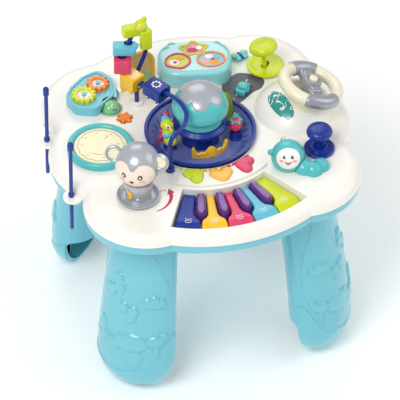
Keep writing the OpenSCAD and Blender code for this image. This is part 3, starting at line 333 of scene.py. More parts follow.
class Piece:
    """One object gathered from grids, each with its own finish and put in place."""

    def __init__(self, name, place=placed(0, 0, 0)):
        self.name, self.place = name, place
        self.points, self.faces, self.which, self.finishes = [], [], [], []
        self.count = 0

    def add(self, grid, finish):
        """Joins a grid whose rows are rings."""
        rows, cols = grid.shape[:2]
        left = self.count + np.arange(rows * cols).reshape(rows, cols)
        right = np.roll(left, -1, 1)
        quads = np.stack([left[:-1], right[:-1], right[1:], left[1:]], -1).reshape(-1, 4)
        if finish not in self.finishes:
            self.finishes.append(finish)
        self.points.append(self.place(grid).reshape(-1, 3))
        self.faces.append(quads)
        self.which.append(np.full(len(quads), self.finishes.index(finish)))
        self.count += rows * cols
        return self

    def make(self, body, *nodes):
        """Builds the mesh, welds seams and poles, and rides it on a body."""
        mesh = bpy.data.meshes.new(self.name)
        points = np.concatenate(self.points) * 0.001
        mesh.from_pydata(points.tolist(), [], np.concatenate(self.faces).tolist())
        mesh.polygons.foreach_set("material_index", np.concatenate(self.which).astype(np.int32))
        for finish in self.finishes:
            mesh.materials.append(finish)
        edit = bmesh.new()
        edit.from_mesh(mesh)
        bmesh.ops.remove_doubles(edit, verts=edit.verts, dist=2e-6)
        bmesh.ops.dissolve_degenerate(edit, edges=edit.edges, dist=1e-7)
        bmesh.ops.recalc_face_normals(edit, faces=edit.faces)
        edit.to_mesh(mesh)
        edit.free()
        mesh.shade_smooth()
        mesh.set_sharp_from_angle(angle=np.radians(38))
        piece = bpy.data.objects.new(self.name, mesh)
        bpy.context.scene.collection.objects.link(piece)
        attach(piece, body)
        if nodes:
            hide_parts(*nodes)


# ---------- finishes ----------

def linear(code):
    """Linear colour from a six-digit web colour."""
    c = np.array([int(code[k:k + 2], 16) for k in (1, 3, 5)]) / 255
    c = np.where(c <= 0.04045, c / 12.92, ((c + 0.055) / 1.055) ** 2.4)
    return (*map(float, c), 1.0)


def shade(colour, factor):
    """A colour made lighter or darker."""
    return (*[min(1.0, c * factor) for c in colour[:3]], 1.0)


class Signal:
    """A shader output that takes part in Python arithmetic."""

    def __init__(self, finish, socket):
        self.finish, self.socket = finish, socket

    def math(self, operation, *others):
        """A math node fed with this output and the others."""
        return self.finish.node("ShaderNodeMath", {"operation": operation},
                                dict(enumerate((self, *others))))

    __add__ = __radd__ = partialmethod(math, "ADD")
    __mul__ = __rmul__ = partialmethod(math, "MULTIPLY")
    __sub__ = partialmethod(math, "SUBTRACT")
    __lt__ = partialmethod(math, "LESS_THAN")
    __gt__ = partialmethod(math, "GREATER_THAN")


class Finish:
    """One material as it is built."""

    def __init__(self, name):
        self.material = bpy.data.materials.new(name)
        self.material.use_nodes = True
        self.tree = self.material.node_tree
        self.shader = next(n for n in self.tree.nodes if n.type == "BSDF_PRINCIPLED")

    def node(self, kind, settings, inputs, out=0):
        """Adds a node: settings first, then the values or links of its sockets."""
        n = self.tree.nodes.new(kind)
        for key, value in settings.items():
            setattr(n, key, value)
        for key, value in inputs.items():
            self.feed(n.inputs[key], value)
        return Signal(self, n.outputs[out])

    def feed(self, socket, value):
        """Links a signal to a socket, or sets the socket's own value."""
        if isinstance(value, Signal):
            self.tree.links.new(value.socket, socket)
        else:
            socket.default_value = value

    def set(self, **sockets):
        """Feeds the surface shader's sockets by name."""
        for key, value in sockets.items():
            self.feed(self.shader.inputs[key.replace("_", " ")], value)

    def place(self):
        """Position in the object's own space."""
        return self.node("ShaderNodeTexCoord", {}, {}, out="Object")

    def noise(self, scale, detail, rough=0.5):
        """Soft noise, scale waves to the metre."""
        return self.node("ShaderNodeTexNoise", {}, {
            "Vector": self.place(), "Scale": scale, "Detail": detail, "Roughness": rough})

    def mix(self, factor, a, b):
        """Colour between a and b."""
        return self.node("ShaderNodeMix", {"data_type": "RGBA"}, {0: factor, 6: a, 7: b}, out=2)


def plastic(name, code, rough, coat, grain=0.10, tone=0.05, metal=0.0, base=None):
    """Moulded plastic: slow tone drift, flow marks in the gloss and a fine orange peel."""
    f = Finish(name)
    colour = linear(code)
    drift = f.noise(14.0, 3.0)
    fine = f.noise(420.0, 2.0, 0.6)
    plain = f.mix(drift, shade(colour, 1 - tone), shade(colour, 1 + tone))
    peel = f.node("ShaderNodeBump", {}, {"Strength": grain, "Distance": 0.0002,
                                         "Height": fine + 2.0 * f.noise(60.0, 1.0)})
    f.set(Base_Color=base(f, plain) if base else plain,
          Roughness=rough - 0.05 + 0.06 * drift + 0.05 * fine,
          Metallic=metal, Coat_Weight=coat, Coat_Roughness=0.12, IOR=1.47, Normal=peel)
    return f.material


def printed(name, code, rough=0.34):
    """Thin printed ink with a slight mottling."""
    return plastic(name, code, rough, coat=0.15, grain=0.03, tone=0.04)


def cover(node, finish):
    """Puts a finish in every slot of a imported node."""
    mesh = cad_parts[node].data
    for k in range(len(mesh.materials)):
        mesh.materials[k] = finish
    if not mesh.materials:
        mesh.materials.append(finish)


# ---------- the finishes of this table ----------

WHITE = plastic("white shell", "#f8f4ec", 0.32, 0.25, 0.06, 0.02)
AQUA = plastic("aqua shell", "#72c5d4", 0.22, 0.45)
PALE_AQUA = plastic("pale aqua", "#9bdfe3", 0.26, 0.4)
NAVY = plastic("navy", "#0e2f8f", 0.3, 0.15)
TEAL = plastic("teal", "#55c0c2", 0.24, 0.35)
SKY = plastic("sky blue", "#66c0d6", 0.28, 0.2)
LIME = plastic("lime", "#cddb10", 0.28, 0.25)
YELLOW = plastic("sun yellow", "#f8c32c", 0.28, 0.2)
GOLDEN = plastic("golden", "#f6b21e", 0.26, 0.4)
APRICOT = plastic("apricot", "#fcc04a", 0.28, 0.4)
PINK = plastic("raspberry", "#e2406a", 0.28, 0.2)
PURPLE = plastic("purple", "#5c2c84", 0.26, 0.3)
LILAC = plastic("purple face", "#84599f", 0.3, 0.35)
ORANGE = plastic("orange", "#f68a2a", 0.24, 0.45)
GREEN = plastic("leaf green", "#84d08c", 0.26, 0.4)
PEARL = plastic("pearl grey", "#b4b7be", 0.28, 0.4, metal=0.3)
SILVER = plastic("silver", "#a9abb4", 0.28, 0.45, metal=0.45)
CREAM = plastic("cream", "#f5efd8", 0.34, 0.25)
WHEEL_CREAM = plastic("wheel cream", "#f3ecce", 0.3, 0.35)
STEEL = plastic("steel", "#a8a8ac", 0.35, 0.0, metal=0.95)
BOARD = plastic("board green", "#2f7d4f", 0.45, 0.1)
BLACK = plastic("black", "#1f2126", 0.4, 0.2)
RUBBER = plastic("grey rubber", "#8d8f93", 0.7, 0.0)

KEY_INK = printed("key print", "#e9ecf6")
PAPER = printed("white print", "#fbfaf5")
CRIMSON = printed("crimson print", "#c2185b")
AMBER = printed("amber print", "#e3a21e")
GRASS = printed("lime print", "#b9d531")
INK = printed("dark print", "#2a2a33")
BROWN = printed("brown line print", "#a08a68")
BLUSH = printed("blush print", "#eea9a4")

for finish, nodes in (
        (WHITE, "top_shell steering_console"),
        (AQUA, "bottom_tray battery_door leg_front_left leg_front_right leg_back_left "
               "leg_back_right gear_case music_box butterfly toy_car bug_head bug_tail"),
        (STEEL, "case_screws battery_cells"),
        (BOARD, "circuit_board"),
        (BLACK, "speaker"),
        (RUBBER, "contact_pads"),
        (NAVY, "key_blue play_dish drumstick_back drumstick_front maze_tube block_blue "
               "plunger plunger_guard"),
        (YELLOW, "key_yellow block_yellow arched_page box_windows"),
        (PINK, "key_pink heart_pink dish_figures strawberry block_pink"),
        (SKY, "key_turquoise"),
        (LIME, "key_lime heart_lime gear_yellow block_lime shift_lever lever_guard"),
        (PURPLE, "key_sharp_1 key_sharp_2 key_sharp_3 key_sharp_4"),
        (ORANGE, "heart_orange gear_orange flower_button"),
        (TEAL, "dome_shell drum_ring block_teal"),
        (PEARL, "dome_cap mouse"),
        (CREAM, "drum_face steering_wheel horn_button"),
        (GREEN, "frog_roller")):
    for node in nodes.split():
        cover(node, finish)


# ---------- keyboard ----------

KEYS_MID = -89.0                         # degrees round the table, as are the pitches
KEY_PITCH, HEART_PITCH = 11.8, 23.5
KEY_Z0, KEY_Z1 = 281.0, 292.0


def key_outline(left, right):
    """A key seen from above: a neck between purple keys that opens into a rounded front.

    Corners are (distance, degrees); left and right say which side has a purple key.
    """
    wide, slim = 5.55, 2.45
    side = [(119.3, slim), (157.0, slim), (163.5, 3.1), (169.5, wide), (196.0, wide)]
    plain = [(119.3, wide), (145.0, wide), (170.0, wide), (196.0, wide)]
    low = [(r, -a) for r, a in (side if right else plain)]
    high = (side if left else plain)[::-1]
    corners = low + [(196.3, -2.0), (196.3, 2.0)] + high
    soft = [1.5] + [7.0] * (len(low) - 2) + [4.0, 3.0, 3.0, 4.0] + [7.0] * (len(high) - 2) + [1.5]
    return rounded([spun(r, np.radians(a)) for r, a in corners], soft, 8, 120)


def slope(r):
    """Drop of a key's face at distance r: 0.52 (r - 177.5), eased in over 2 mm."""
    past = r - 177.5
    return 0.52 * (past + np.sqrt(past ** 2 + 1.2)) / 2


def coloured_key(name, angle, finish, left, right):
    """Key with a sloping front, and the ring and dots printed near it."""
    grid = moulding(key_outline(left, right), KEY_Z0, KEY_Z1, edge=2.2, crown=0.25, foot=0.4,
                    centre=(168, 0), steps=7)
    drop = slope(np.hypot(grid[..., 0], grid[..., 1]))
    grid[..., 2] -= drop * (grid[..., 2] - KEY_Z0) / (KEY_Z1 - KEY_Z0)
    Piece(name + "_dressed").add(turn_z(grid, angle), finish).make(name, name)

    mark = Piece(name + "_print")
    dots = [(ring(0.9, 20), np.zeros((20, 2)), at) for at in
            ((-3.4, 169.2), (0, 169.9), (3.4, 169.2))]
    for outline, rim, at in [(oval(4.6, 2.6, 48), oval(3.9, 1.9, 48), (0, 174))] + dots:
        rows = [(rim, -0.3), (outline, -0.3), (outline, 0.1), (rim, 0.1)]
        if rim.any():
            rows.append(rows[0])
        grid = []
        for xy, lift in rows:
            p = xy[:, ::-1] * [-1, 1] + [at[1], at[0]]
            face = KEY_Z1 + 0.25 - slope(np.hypot(p[:, 0], p[:, 1]))
            grid.append(np.column_stack([p, face + lift]))
        mark.add(turn_z(np.stack(grid), angle), KEY_INK)
    mark.make(name)


def purple_key(name, angle):
    """Long key with a chamfered lighter face and a front cut to a blunt point."""
    corners = [(120.2, -5.0), (121.5, -5.9), (155.5, -7.4), (163.7, -3.6), (163.7, 3.6),
               (155.5, 7.4), (121.5, 5.9), (120.2, 5.0)]
    outline, middle = rounded(corners, 2.4, 5, 72), np.array([142.0, 0.0])
    into = inward(outline)
    rows = [(np.broadcast_to(middle, outline.shape), 281.2)]
    rows += [(outline + into * d, z) for d, z in
             ((0, 281.2), (0, 293.6), (0.5, 294.8), (1.6, 296.6), (2.5, 297.7), (2.9, 297.95))]
    inner = outline + into * 3.3
    face = [rows[-1], (inner, 298.0)]
    face += [(middle + (inner - middle) * s, 298.0) for s in (0.6, 0.3, 0.0)]
    key = Piece(name + "_dressed", placed(0, 0, 0, angle))
    key.add(layers(rows), PURPLE).add(layers(face), LILAC).make(name, name)


for i, (name, finish) in enumerate((("key_blue", NAVY), ("key_yellow", YELLOW),
                                    ("key_pink", PINK), ("key_turquoise", SKY),
                                    ("key_lime", LIME))):
    coloured_key(name, KEYS_MID + (i - 2) * KEY_PITCH, finish, left=i < 4, right=i > 0)
for i in range(4):
    purple_key(f"key_sharp_{i + 1}", KEYS_MID + (i - 1.5) * KEY_PITCH)


# ---------- heart buttons and light strip ----------

def heart_button(name, i, finish):
    """Puffed heart whose face falls to a shallow crease at the notch.

    Radius 13.45 (1.01 + .105 cos t - .149 cos 2t + .155 cos 3t).
    """
    t = angles(96)
    rad = 13.45 * (1.01 + 0.105 * np.cos(t) - 0.149 * np.cos(2 * t) + 0.155 * np.cos(3 * t))
    grid = moulding(spun(rad, t), 294.0, 307.2, edge=2.6, crown=0.5, steps=8)
    t = np.arctan2(grid[..., 1], grid[..., 0])
    crease = np.exp(-((abs(t) - np.pi) / 0.30) ** 2)
    crease *= np.clip(np.hypot(grid[..., 0], grid[..., 1]) / 8, 0, 1)
    grid[..., 2] -= crease * 1.1 * (grid[..., 2] > 304)
    grid = turn_z(grid, (i - 1) * -140) + [94.5, 0, 0]
    heart = Piece(name + "_dressed", placed(0, 0, 0, KEYS_MID + (i - 1) * HEART_PITCH))
    heart.add(grid, finish).make(name, name)


for i, (name, finish) in enumerate((("heart_lime", LIME), ("heart_orange", APRICOT),
                                    ("heart_pink", PINK))):
    heart_button(name, i, finish)


def strip(a0, a1, first, last):
    """Flat arc band round the z axis; first and last say which ends are round."""
    middle, half, n = 83.1, 2.5, 48
    t = np.linspace(0, 1, n)
    end = np.radians(a1 - a0) * middle
    w = np.full(n, half)
    for tip, run in ((first, end * t), (last, end - end * t)):
        if tip:
            w = np.minimum(w, np.sqrt(np.maximum(half ** 2 - np.maximum(half - run, 0) ** 2, 0)))
    e = np.minimum(0.3, w)
    rad = middle + np.stack([-w, -w, e - w, w - e, w, w], -1)
    a = np.radians(a0 + (a1 - a0) * t)[:, None]
    high = np.broadcast_to(303.9 + 0.7 * np.array([0, 0.8, 1, 1, 0.8, 0]), rad.shape)
    return capped(np.stack([rad * np.cos(a), rad * np.sin(a), high], -1))


lights = Piece("light_strip")
for a0, a1, finish, first, last in ((-126.5, -104.0, GRASS, True, False),
                                    (-104.0, -80.5, AMBER, False, False),
                                    (-80.5, -54.5, CRIMSON, False, True)):
    lights.add(strip(a0, a1, first, last), finish)
for k, (a, r, size, finish) in enumerate((
        (-122.5, 83.2, 1.5, PAPER), (-117.5, 82.6, 1.1, AMBER), (-113, 83.3, 1.3, PAPER),
        (-108, 83.2, 1.9, BLUSH), (-100, 83.0, 1.5, PAPER), (-95, 83.3, 1.2, PAPER),
        (-89.5, 83.0, 1.6, PAPER), (-84.5, 83.2, 1.0, CRIMSON), (-76.5, 83.0, 1.5, PAPER),
        (-71.5, 83.4, 1.3, BLUSH), (-66, 82.8, 1.2, PAPER), (-61, 83.2, 1.5, BLUSH))):
    blob = moulding(lobed(size, size * 0.16, 5, 40, k * 31.0), 304.3, 304.8, 0.2, 0.05, 0.05)
    lights.add(turn_z(blob + [r, 0, 0], a), finish)
lights.make("table")


# ---------- play dish ----------

BOWL_Z = 291.2       # floor of the bowl


def dashes(f, plain):
    """Slanted dashes round the cone and a zigzag band near the front left of the bowl."""
    n = f.node("ShaderNodeSeparateXYZ", {}, {0: f.place()}).socket.node
    x, y = (Signal(f, n.outputs[k]) for k in range(2))
    angle = y.math("ARCTAN2", x)
    rad = (x * x + y * y).math("SQRT")
    beat = ((angle + 7.0 * rad) * (34 / TAU) + 100.0).math("FRACT")
    mark = ((beat - 0.5).math("ABSOLUTE") < 0.11) * (rad > 0.0595) * (rad < 0.0668)
    tooth = (angle * 9.0 + 90.0).math("PINGPONG", 1.0)
    low = (angle < -1.75) * (angle > -3.05) * ((rad - 0.0035 * tooth) > 0.0585)
    return f.mix(mark.math("MAXIMUM", low), plain, linear("#173a91"))


cover("dish_lining", plastic("dashed periwinkle", "#6672b0", 0.32, 0.3, base=dashes))


def crown_wall():
    """Curved crown with a round middle lobe and raised pointed ends, radius 40 to 44."""
    a = np.linspace(-36, 36, 110)
    middle = np.exp(-(a / 11.5) ** 4) * 8.5 * np.cos(np.clip(a / 11.5, -1.2, 1.2) * 1.1)
    horns = 9.5 * np.exp(-((abs(a) - 33.5) / 4.6) ** 2)
    ripple = 1.0 * np.cos(np.radians(a * 20)) * (abs(a) > 15)
    top = 9.5 + middle + horns + ripple
    lean = 2.2 * (abs(a) / 36) ** 2
    rows = []
    for r, h in ((40.0, 0.0), (40.0, 0.92), (40.8, 1.0), (43.2, 1.0), (44.0, 0.92), (44.0, 0.0)):
        rows.append(np.column_stack([spun(r + lean * h, np.radians(a)), BOWL_Z + 0.1 + top * h]))
    return capped(np.stack(rows, 1))


def leaf(length, width, cup):
    """Leaf along +x: half width w sin(pi s)^0.8, cupped by cup (y / w)^2, closed below."""
    s = np.linspace(0.0, 1.0, 16)[:, None]
    half = width * np.sin(np.pi * s) ** 0.8
    v = np.array([-1, -0.6, 0, 0.6, 1, 0.6, 0, -0.6])
    under = np.array([0, 0, 0, 0, 0, 1, 1, 1])
    x = np.repeat(length * s, 8, 1)
    return np.stack([x, half * v, cup * half * v ** 2 - 0.9 * under * np.sin(np.pi * s)], -1)


def in_bowl(angle, r, wide=1.0):
    """Placement on the bowl's floor, r from the middle; wide scales x and y first."""
    return lambda grid: turn_z(grid * [wide, wide, 1] + [r, 0, BOWL_Z], angle)


BERRY = in_bowl(-16, 49.0)

figures = Piece("dish_figures_dressed")
figures.add(turn_z(crown_wall(), -86), YELLOW)

# the berry's cup
figures.place = BERRY
figures.add(turned([(0, 0), (9.2, 0), (9.2, 1.6), (8.0, 3.2), (8.3, 12.6), (8.0, 13.8), (7.2, 14.0),
                    (6.6, 13.4), (6.5, 4.2), (2.2, 4.0), (2.15, 2.1), (0, 2.1)], 48), NAVY)

# bird: cup, body, chest, neck, head, crest, beak and tail
figures.place = in_bowl(188, 46.0)
figures.add(turned([(0, 0), (9.4, 0), (9.4, 1.5), (8.1, 3), (8.1, 11.5), (7.4, 12.4), (0, 12.4)],
                   48), NAVY)
figures.place = in_bowl(188, 46.0, 1.15)
for size, lean, at, finish, squash in (
        ((8.0, 8.6, 9.6), 20, (2.0, 5.4, 19.5), LIME, 2.1),
        ((8.6, 7.4, 7.0), 30, (3.0, 3.0, 29.0), SKY, 2.0),
        ((6.6, 6.8, 7.6), 20, (3.4, 1.6, 33.0), LIME, 2.0),
        ((7.8, 8.0, 8.0), 0, (4.0, 0.6, 43.6), LIME, 2.0),
        ((5.4, 8.2, 3.4), -30, (4.0, -1.8, 48.0), SKY, 2.0),
        ((2.4, 5.0, 1.9), -12, (3.2, 8.6, 42.4), YELLOW, 2.0),
        ((3.4, 8.6, 2.2), 34, (1.0, -3.6, 14.8), LIME, 2.0)):
    figures.add(turn_x(ball(*size, squash=squash), lean) + np.array(at), finish)
for side in (18, -48):
    head = np.array([4.0, 0.6, 43.6])
    figures.add(on_ball(ring(2.5, 28), 7.95, 90 - side, 14, 0.18) + head, PAPER)
    figures.add(on_ball(ring(1.4, 24), 8.05, 90 - side, 14, 0.22) + head, INK)

# coral: leaning stem with buds
figures.place = in_bowl(170, 55.0)
stem = flowing_path([(0, 0, 0.6), (-0.6, 0.4, 12), (-2.6, -0.6, 24), (-4.6, 0.8, 36),
                     (-8.0, 0.4, 49)], 34)
figures.add(capped(rope(stem, 3.2 + 0.7 * np.sin(np.linspace(0, 15, 34)), 16)), PINK)
for at, size in (((-0.6, 0.6, 8), (4.2, 4.4, 5.0)), ((-1.9, -0.6, 19), (4.0, 5.0, 3.8)),
                 ((-4.0, 0.8, 31), (4.4, 5.4, 4.0)), ((-7.6, 0.4, 47.6), (4.2, 5.2, 4.6))):
    figures.add(ball(*size) + np.array(at), PINK)

# two leaves behind on the right
figures.place = in_bowl(24, 50.0)
for length, width, cup, lean, yaw, finish in ((50, 8.0, 0.2, -84, 60, LIME),
                                              (34, 7.0, 0.25, -70, 110, GREEN)):
    figures.add(turn_z(turn_y(leaf(length, width, cup), lean) + [0, 0, 1.0], yaw), finish)
figures.add(turned([(0, 0), (6.5, 0), (6.5, 2), (5, 3.2), (0, 3.6)], 36), NAVY)

# fish behind the dome
figures.place = in_bowl(78, 50.0)
figures.add(turned([(0, 0), (6.4, 0), (6.4, 2), (3.0, 4.0), (2.6, 30), (0, 30.4)], 36), NAVY)
figures.add(ball(3.0, 12.4, 9.6, squash=2.2) + [1.5, 0, 42.0], GOLDEN)
for size, lean, at, finish in (((3.3, 6.0, 8.6), 0, (1.4, 6.4, 42.0), TEAL),
                               ((1.6, 6.6, 3.2), 35, (1.5, -9.0, 47.0), GREEN),
                               ((1.6, 6.2, 3.0), -35, (1.5, -9.0, 38.0), GREEN)):
    figures.add(turn_x(ball(*size), lean) + np.array(at), finish)
for side in (0, 180):
    eye = np.array([1.5, 7.4, 43.0])
    figures.add(on_ball(ring(1.7, 24), 3.2, side, 5, 0.3) + eye, PAPER)
    figures.add(on_ball(ring(0.9, 20), 3.3, side, 5, 0.35) + eye, INK)
figures.make("dish", "dish_figures")

# strawberry on its spindle: an egg with seeds and a crown of leaves
berry = Piece("strawberry_dressed", BERRY)
berry.add(turned([(0, 2.4), (1.95, 2.4), (1.95, 12.2), (4.2, 13.6), (7.6, 17.0), (9.3, 21.5),
                  (9.2, 25.5), (8.0, 30.0), (6.0, 33.0), (3.6, 34.6), (0, 35.2)], 44), PINK)
for k in range(6):
    berry.add(turn_z(turn_y(leaf(10.5, 3.6, 0.4), 18), 60 * k) + [0, 0, 34.4], TEAL)
for k in range(4):
    berry.add(turn_z(turn_y(leaf(9.5, 2.6, 0.4), -62), 90 * k + 20) + [0, 0, 34.4],
              GREEN if k % 2 else SKY)
for e, shift in ((-38, 0), (-14, 30), (10, 0), (34, 30)):
    for a in range(0, 360, 60):
        seed = on_ball(oval(0.55, 0.95, 10), 9.05 if abs(e) < 20 else 8.7, a + shift, e, 0.45)
        berry.add(seed + [0, 0, 23.6], YELLOW)
berry.make("strawberry", "strawberry")


def dome():
    """Teal dome that narrows to a waist over a flared skirt, with a scalloped pearl cap.

    The cap's edge lies at 53 - 20 |cos 3 (t - t0)|^0.75 degrees: six tongues.
    """
    z, r_out, flat = 347.6, 39.3, 0.885
    skirt = [(0, 326.2), (30.2, 326.2), (31.0, 327.0), (31.0, 329.6), (30.3, 331.4), (29.0, 333.0),
             (28.4, 334.4), (28.8, 335.9), (31.4, 338.0), (35.2, 340.6), (37.8, 343.2)]
    shell = np.vstack([skirt, arc(0, 0, r_out, -3, 90, 26) * [1, flat] + [0, z]])
    shell[:, 0] = np.maximum(shell[:, 0], 0)
    Piece("dome_dressed").add(turned(shell, 96), TEAL).make("dish", "dome_shell")

    t, s = angles(180), np.linspace(0, 1, 22)[:, None]
    low = np.radians(53 - 20 * abs(np.cos(3 * (t - np.radians(-107)))) ** 0.75)

    def skin(r, lat):
        return np.stack([r * np.cos(lat) * np.cos(t), r * np.cos(lat) * np.sin(t),
                         z + flat * r * np.sin(lat)], -1)
    cap = skin(r_out + 0.05 + 1.0 * np.minimum(1, s * 12) ** 0.5,
               low[None] + (np.pi / 2 - low[None]) * s)
    inner = skin(r_out - 0.3, low)
    base = np.broadcast_to(inner.mean(0), inner.shape)
    grid = np.concatenate([base[None], inner[None], cap])
    Piece("dome_cap_dressed").add(grid, PEARL).make("dish", "dome_cap")


dome()


# ---------- drum and sticks ----------

drum = Piece("drum_face_dressed", placed(-141, 8))
skin = plastic("drum skin", "#fff3cd", 0.42, 0.15, 0.06, 0.03)
drum.add(moulding(ring(36.4, 120), 3.6, 6.6, 0.5, 0.35), skin)
t = angles(240)
wavy = spun(31.2 + 1.7 * abs(np.sin(7 * t)) - 0.6, t)
line = inward(wavy) * 0.3
drum.add(band(wavy - line, wavy + line, 6.5, 7.15, 0.05, 2), BROWN)
drum.add(pen([(-19, -9), (-9, -16.5), (3, -18), (14, -13.5)], 0.42, 6.95), BROWN)
drum.add(pen([(9, 12), (13.5, 14.5), (14.5, 19)], 0.4, 6.95), BROWN)
curl = pen([(-2, 0), (-0.5, 1.4), (1.2, 0.6), (0.8, -0.9), (-0.4, -0.6)], 0.26, 6.95, 24)
for x, y, aim in ((-24, 8, 20), (-15, 21, 80), (2, 26, 150), (20, 17, 40), (25, -4, 100),
                  (-3, -25.5, 10), (-22, -14.5, 60), (17, -19, 130)):
    drum.add(turn_z(curl, aim) + [x, y, 0], BROWN)
drum.add(turned([(0, -4.8), (6.0, -4.8), (6.0, -2.8), (3.5, -2.8), (3.5, 3.6), (0, 3.6)], 36), skin)
drum.make("drum_face", "drum_face")

stick = turned(np.vstack([[(0, -71.0), (2.2, -70.6), (2.8, -69.4), (2.8, -12.2), (2.8, -11.8),
                           (4.0, -11.6), (4.2, -10.8), (4.2, -7.4), (3.9, -6.0), (2.8, -4.8),
                           (2.7, 20), (2.8, 60.0)],
                          arc(0, 73.2, 4.2, -52, 0, 7), arc(0, 81.6, 4.2, 0, 90, 9)]), 28)
for node, y in (("drumstick_back", 60.0), ("drumstick_front", -60.0)):
    Piece(node + "_dressed", placed(-203, y)).add(stick, NAVY).make(node, node)


# ---------- mouse on its saucer ----------

MOUSE = (-120.0, -102.0)
FACE = -123.0        # the way it looks
mouse = Piece("mouse_dressed", placed(*MOUSE))
mouse.add(turned([(5.15, 0.35), (21.5, 0.35), (26.5, 1.6), (29.6, 4.6), (30.0, 6.2), (29.4, 7.1),
                  (28.4, 7.0), (26.0, 4.4), (21.8, 2.9), (18.4, 2.7), (17.9, 3.6), (17.6, 6),
                  (18.6, 14), (20.4, 24), (21.6, 31), (21.0, 35), (0, 38)], 72), PEARL)

# head: a wide heart-topped patch, eyes, cheeks and nose
mouse.place = placed(*MOUSE, TOP + 61.0)
mouse.add(ball(30.9, 30.9, 30.6, 72, 40), PEARL)
mask = flowing([(0, 7.5), (9.5, 16.0), (20, 14.5), (27.2, 4), (26.8, -9), (15, -21.5), (0, -24.5),
                (-15, -21.5), (-26.8, -9), (-27.2, 4), (-20, 14.5), (-9.5, 16.0)], 120)
mouse.add(on_ball(mask, 30.9, FACE, 4, 0.55), plastic("face cream", "#f5e2d2", 0.34, 0.25))
for s in (-1, 1):
    for outline, r, lift, finish in ((oval(3.5, 3.9, 36), 31.4, 0.30, INK),
                                     (ring(1.75, 24) + [0.0, 0.2], 31.6, 0.32, PAPER),
                                     (ring(0.75, 16) + [0.9, 1.0], 31.75, 0.34, INK)):
        mouse.add(on_ball(outline, r, FACE + s * 21.5, 2.5, lift), finish)
    mouse.add(on_ball(oval(4.4, 1.25, 32), 31.4, FACE + s * 28.5, -12.5, 0.25, -s * 8), BLUSH)
nose = flowing([(0, -2.1), (2.2, -0.4), (2.9, 1.3), (0, 1.8), (-2.9, 1.3), (-2.2, -0.4)], 40)
mouse.add(on_ball(nose, 31.4, FACE, -14.5, 0.9), printed("nose brown", "#4a2f26"))

# ears: thick rings cupped towards the face with a cream inside
ear = oval(12.2, 12.6, 60)
EAR_PARTS = ((PEARL, ((0.0, -3.6), (0.62, -3.9), (0.93, -2.6), (1.0, 0.2), (0.97, 2.2),
                      (0.86, 3.2), (0.74, 2.6), (0.64, 0.9))),
             (CREAM, ((0.645, 0.95), (0.5, 0.3), (0.25, 0.0), (0.0, -0.1))))
for s in (-1, 1):
    for finish, rows in EAR_PARTS:
        grid = layers([(ear * k, depth) for k, depth in rows])
        grid[..., 2] += 0.004 * (grid[..., 0] ** 2)
        grid = turn_z(turn_y(along_x(grid), -14), s * -12) + [2.4, s * 33.4, 13.4]
        mouse.add(turn_z(grid, FACE), finish)

# crescent held at the chest and a small white button
moon = flowing([(-1.5, 7), (4.2, 5.4), (6.6, 0), (4.6, -5.6), (-1.5, -7.6), (1.2, -4), (2.0, 0),
                (0.9, 3.8)], 64)
grid = turn_y(along_x(moulding(moon, 0.0, 2.6, 0.9, 0.3)), 7) + [18.6, 0, 0]
mouse.place = placed(*MOUSE)
mouse.add(turn_z(grid, FACE - 26) + [0, 0, 19.5], YELLOW)
mouse.add(turn_z(ball(1.4, 1.6, 1.6, 16, 9) + [18.9, 0, 0], FACE + 14) + [0, 0, 12], PAPER)
mouse.make("mouse", "mouse")


# ---------- gears, roller and flower ----------

CASE_LINE = [(-148, 111), (-144, 95), (-128, 88), (-106, 103), (-102, 128), (-108, 140),
             (-122, 136), (-140, 122)]
case = Piece("gear_case_trim")
case.add(band(grown(CASE_LINE, 11.7), grown(CASE_LINE, 8.0), 312.8, 314.9, 1.0, 6), AQUA)
case.make("table")

GEARS = np.array([(-136, 106), (-111, 123.5)])
APART = GEARS[1] - GEARS[0]
MESH_AIM = np.degrees(np.arctan2(APART[1], APART[0]))
TEETH = (12, 11)


def gear(node, at, teeth, aim, finish):
    """Thick ring with rounded teeth, a printed disc in the middle and five drops on it."""
    pitch = np.hypot(*APART) * teeth / sum(TEETH)
    t = angles(teeth * 16)
    wave = np.cos(teeth * (t - np.radians(aim)))
    outer = spun(pitch - 0.15 + 1.75 * np.tanh(2.0 * wave) / np.tanh(2.0), t)
    rim, hub = pitch - 5.4, 3.15
    p = Piece(node + "_dressed", placed(*at))
    p.add(band(outer, ring(pitch - 5.6, len(t)), 13.35, 19.5, 1.3, 6), finish)
    disc = layers([(ring(r, len(t)), z) for r, z in
                   ((hub, 13.4), (rim, 13.4), (rim, 15.6), (hub, 16.0), (hub, 13.4))])
    p.add(disc, PAPER)
    drop = moulding(oval(1.5, 0.8, 24), 15.7, 16.15, 0.12, 0.05, 0.02)
    for k, mark in enumerate((SKY, GRASS, BLUSH, SKY, AMBER)):
        p.add(turn_z(drop + [(rim + 3.1) / 2, 0, 0], 72 * k + aim), mark)
    p.make(node, node)


gear("gear_yellow", GEARS[0], TEETH[0], MESH_AIM,
     plastic("gear yellow", "#e2e01e", 0.24, 0.45))
gear("gear_orange", GEARS[1], TEETH[1], MESH_AIM + 180 + 180 / TEETH[1], ORANGE)

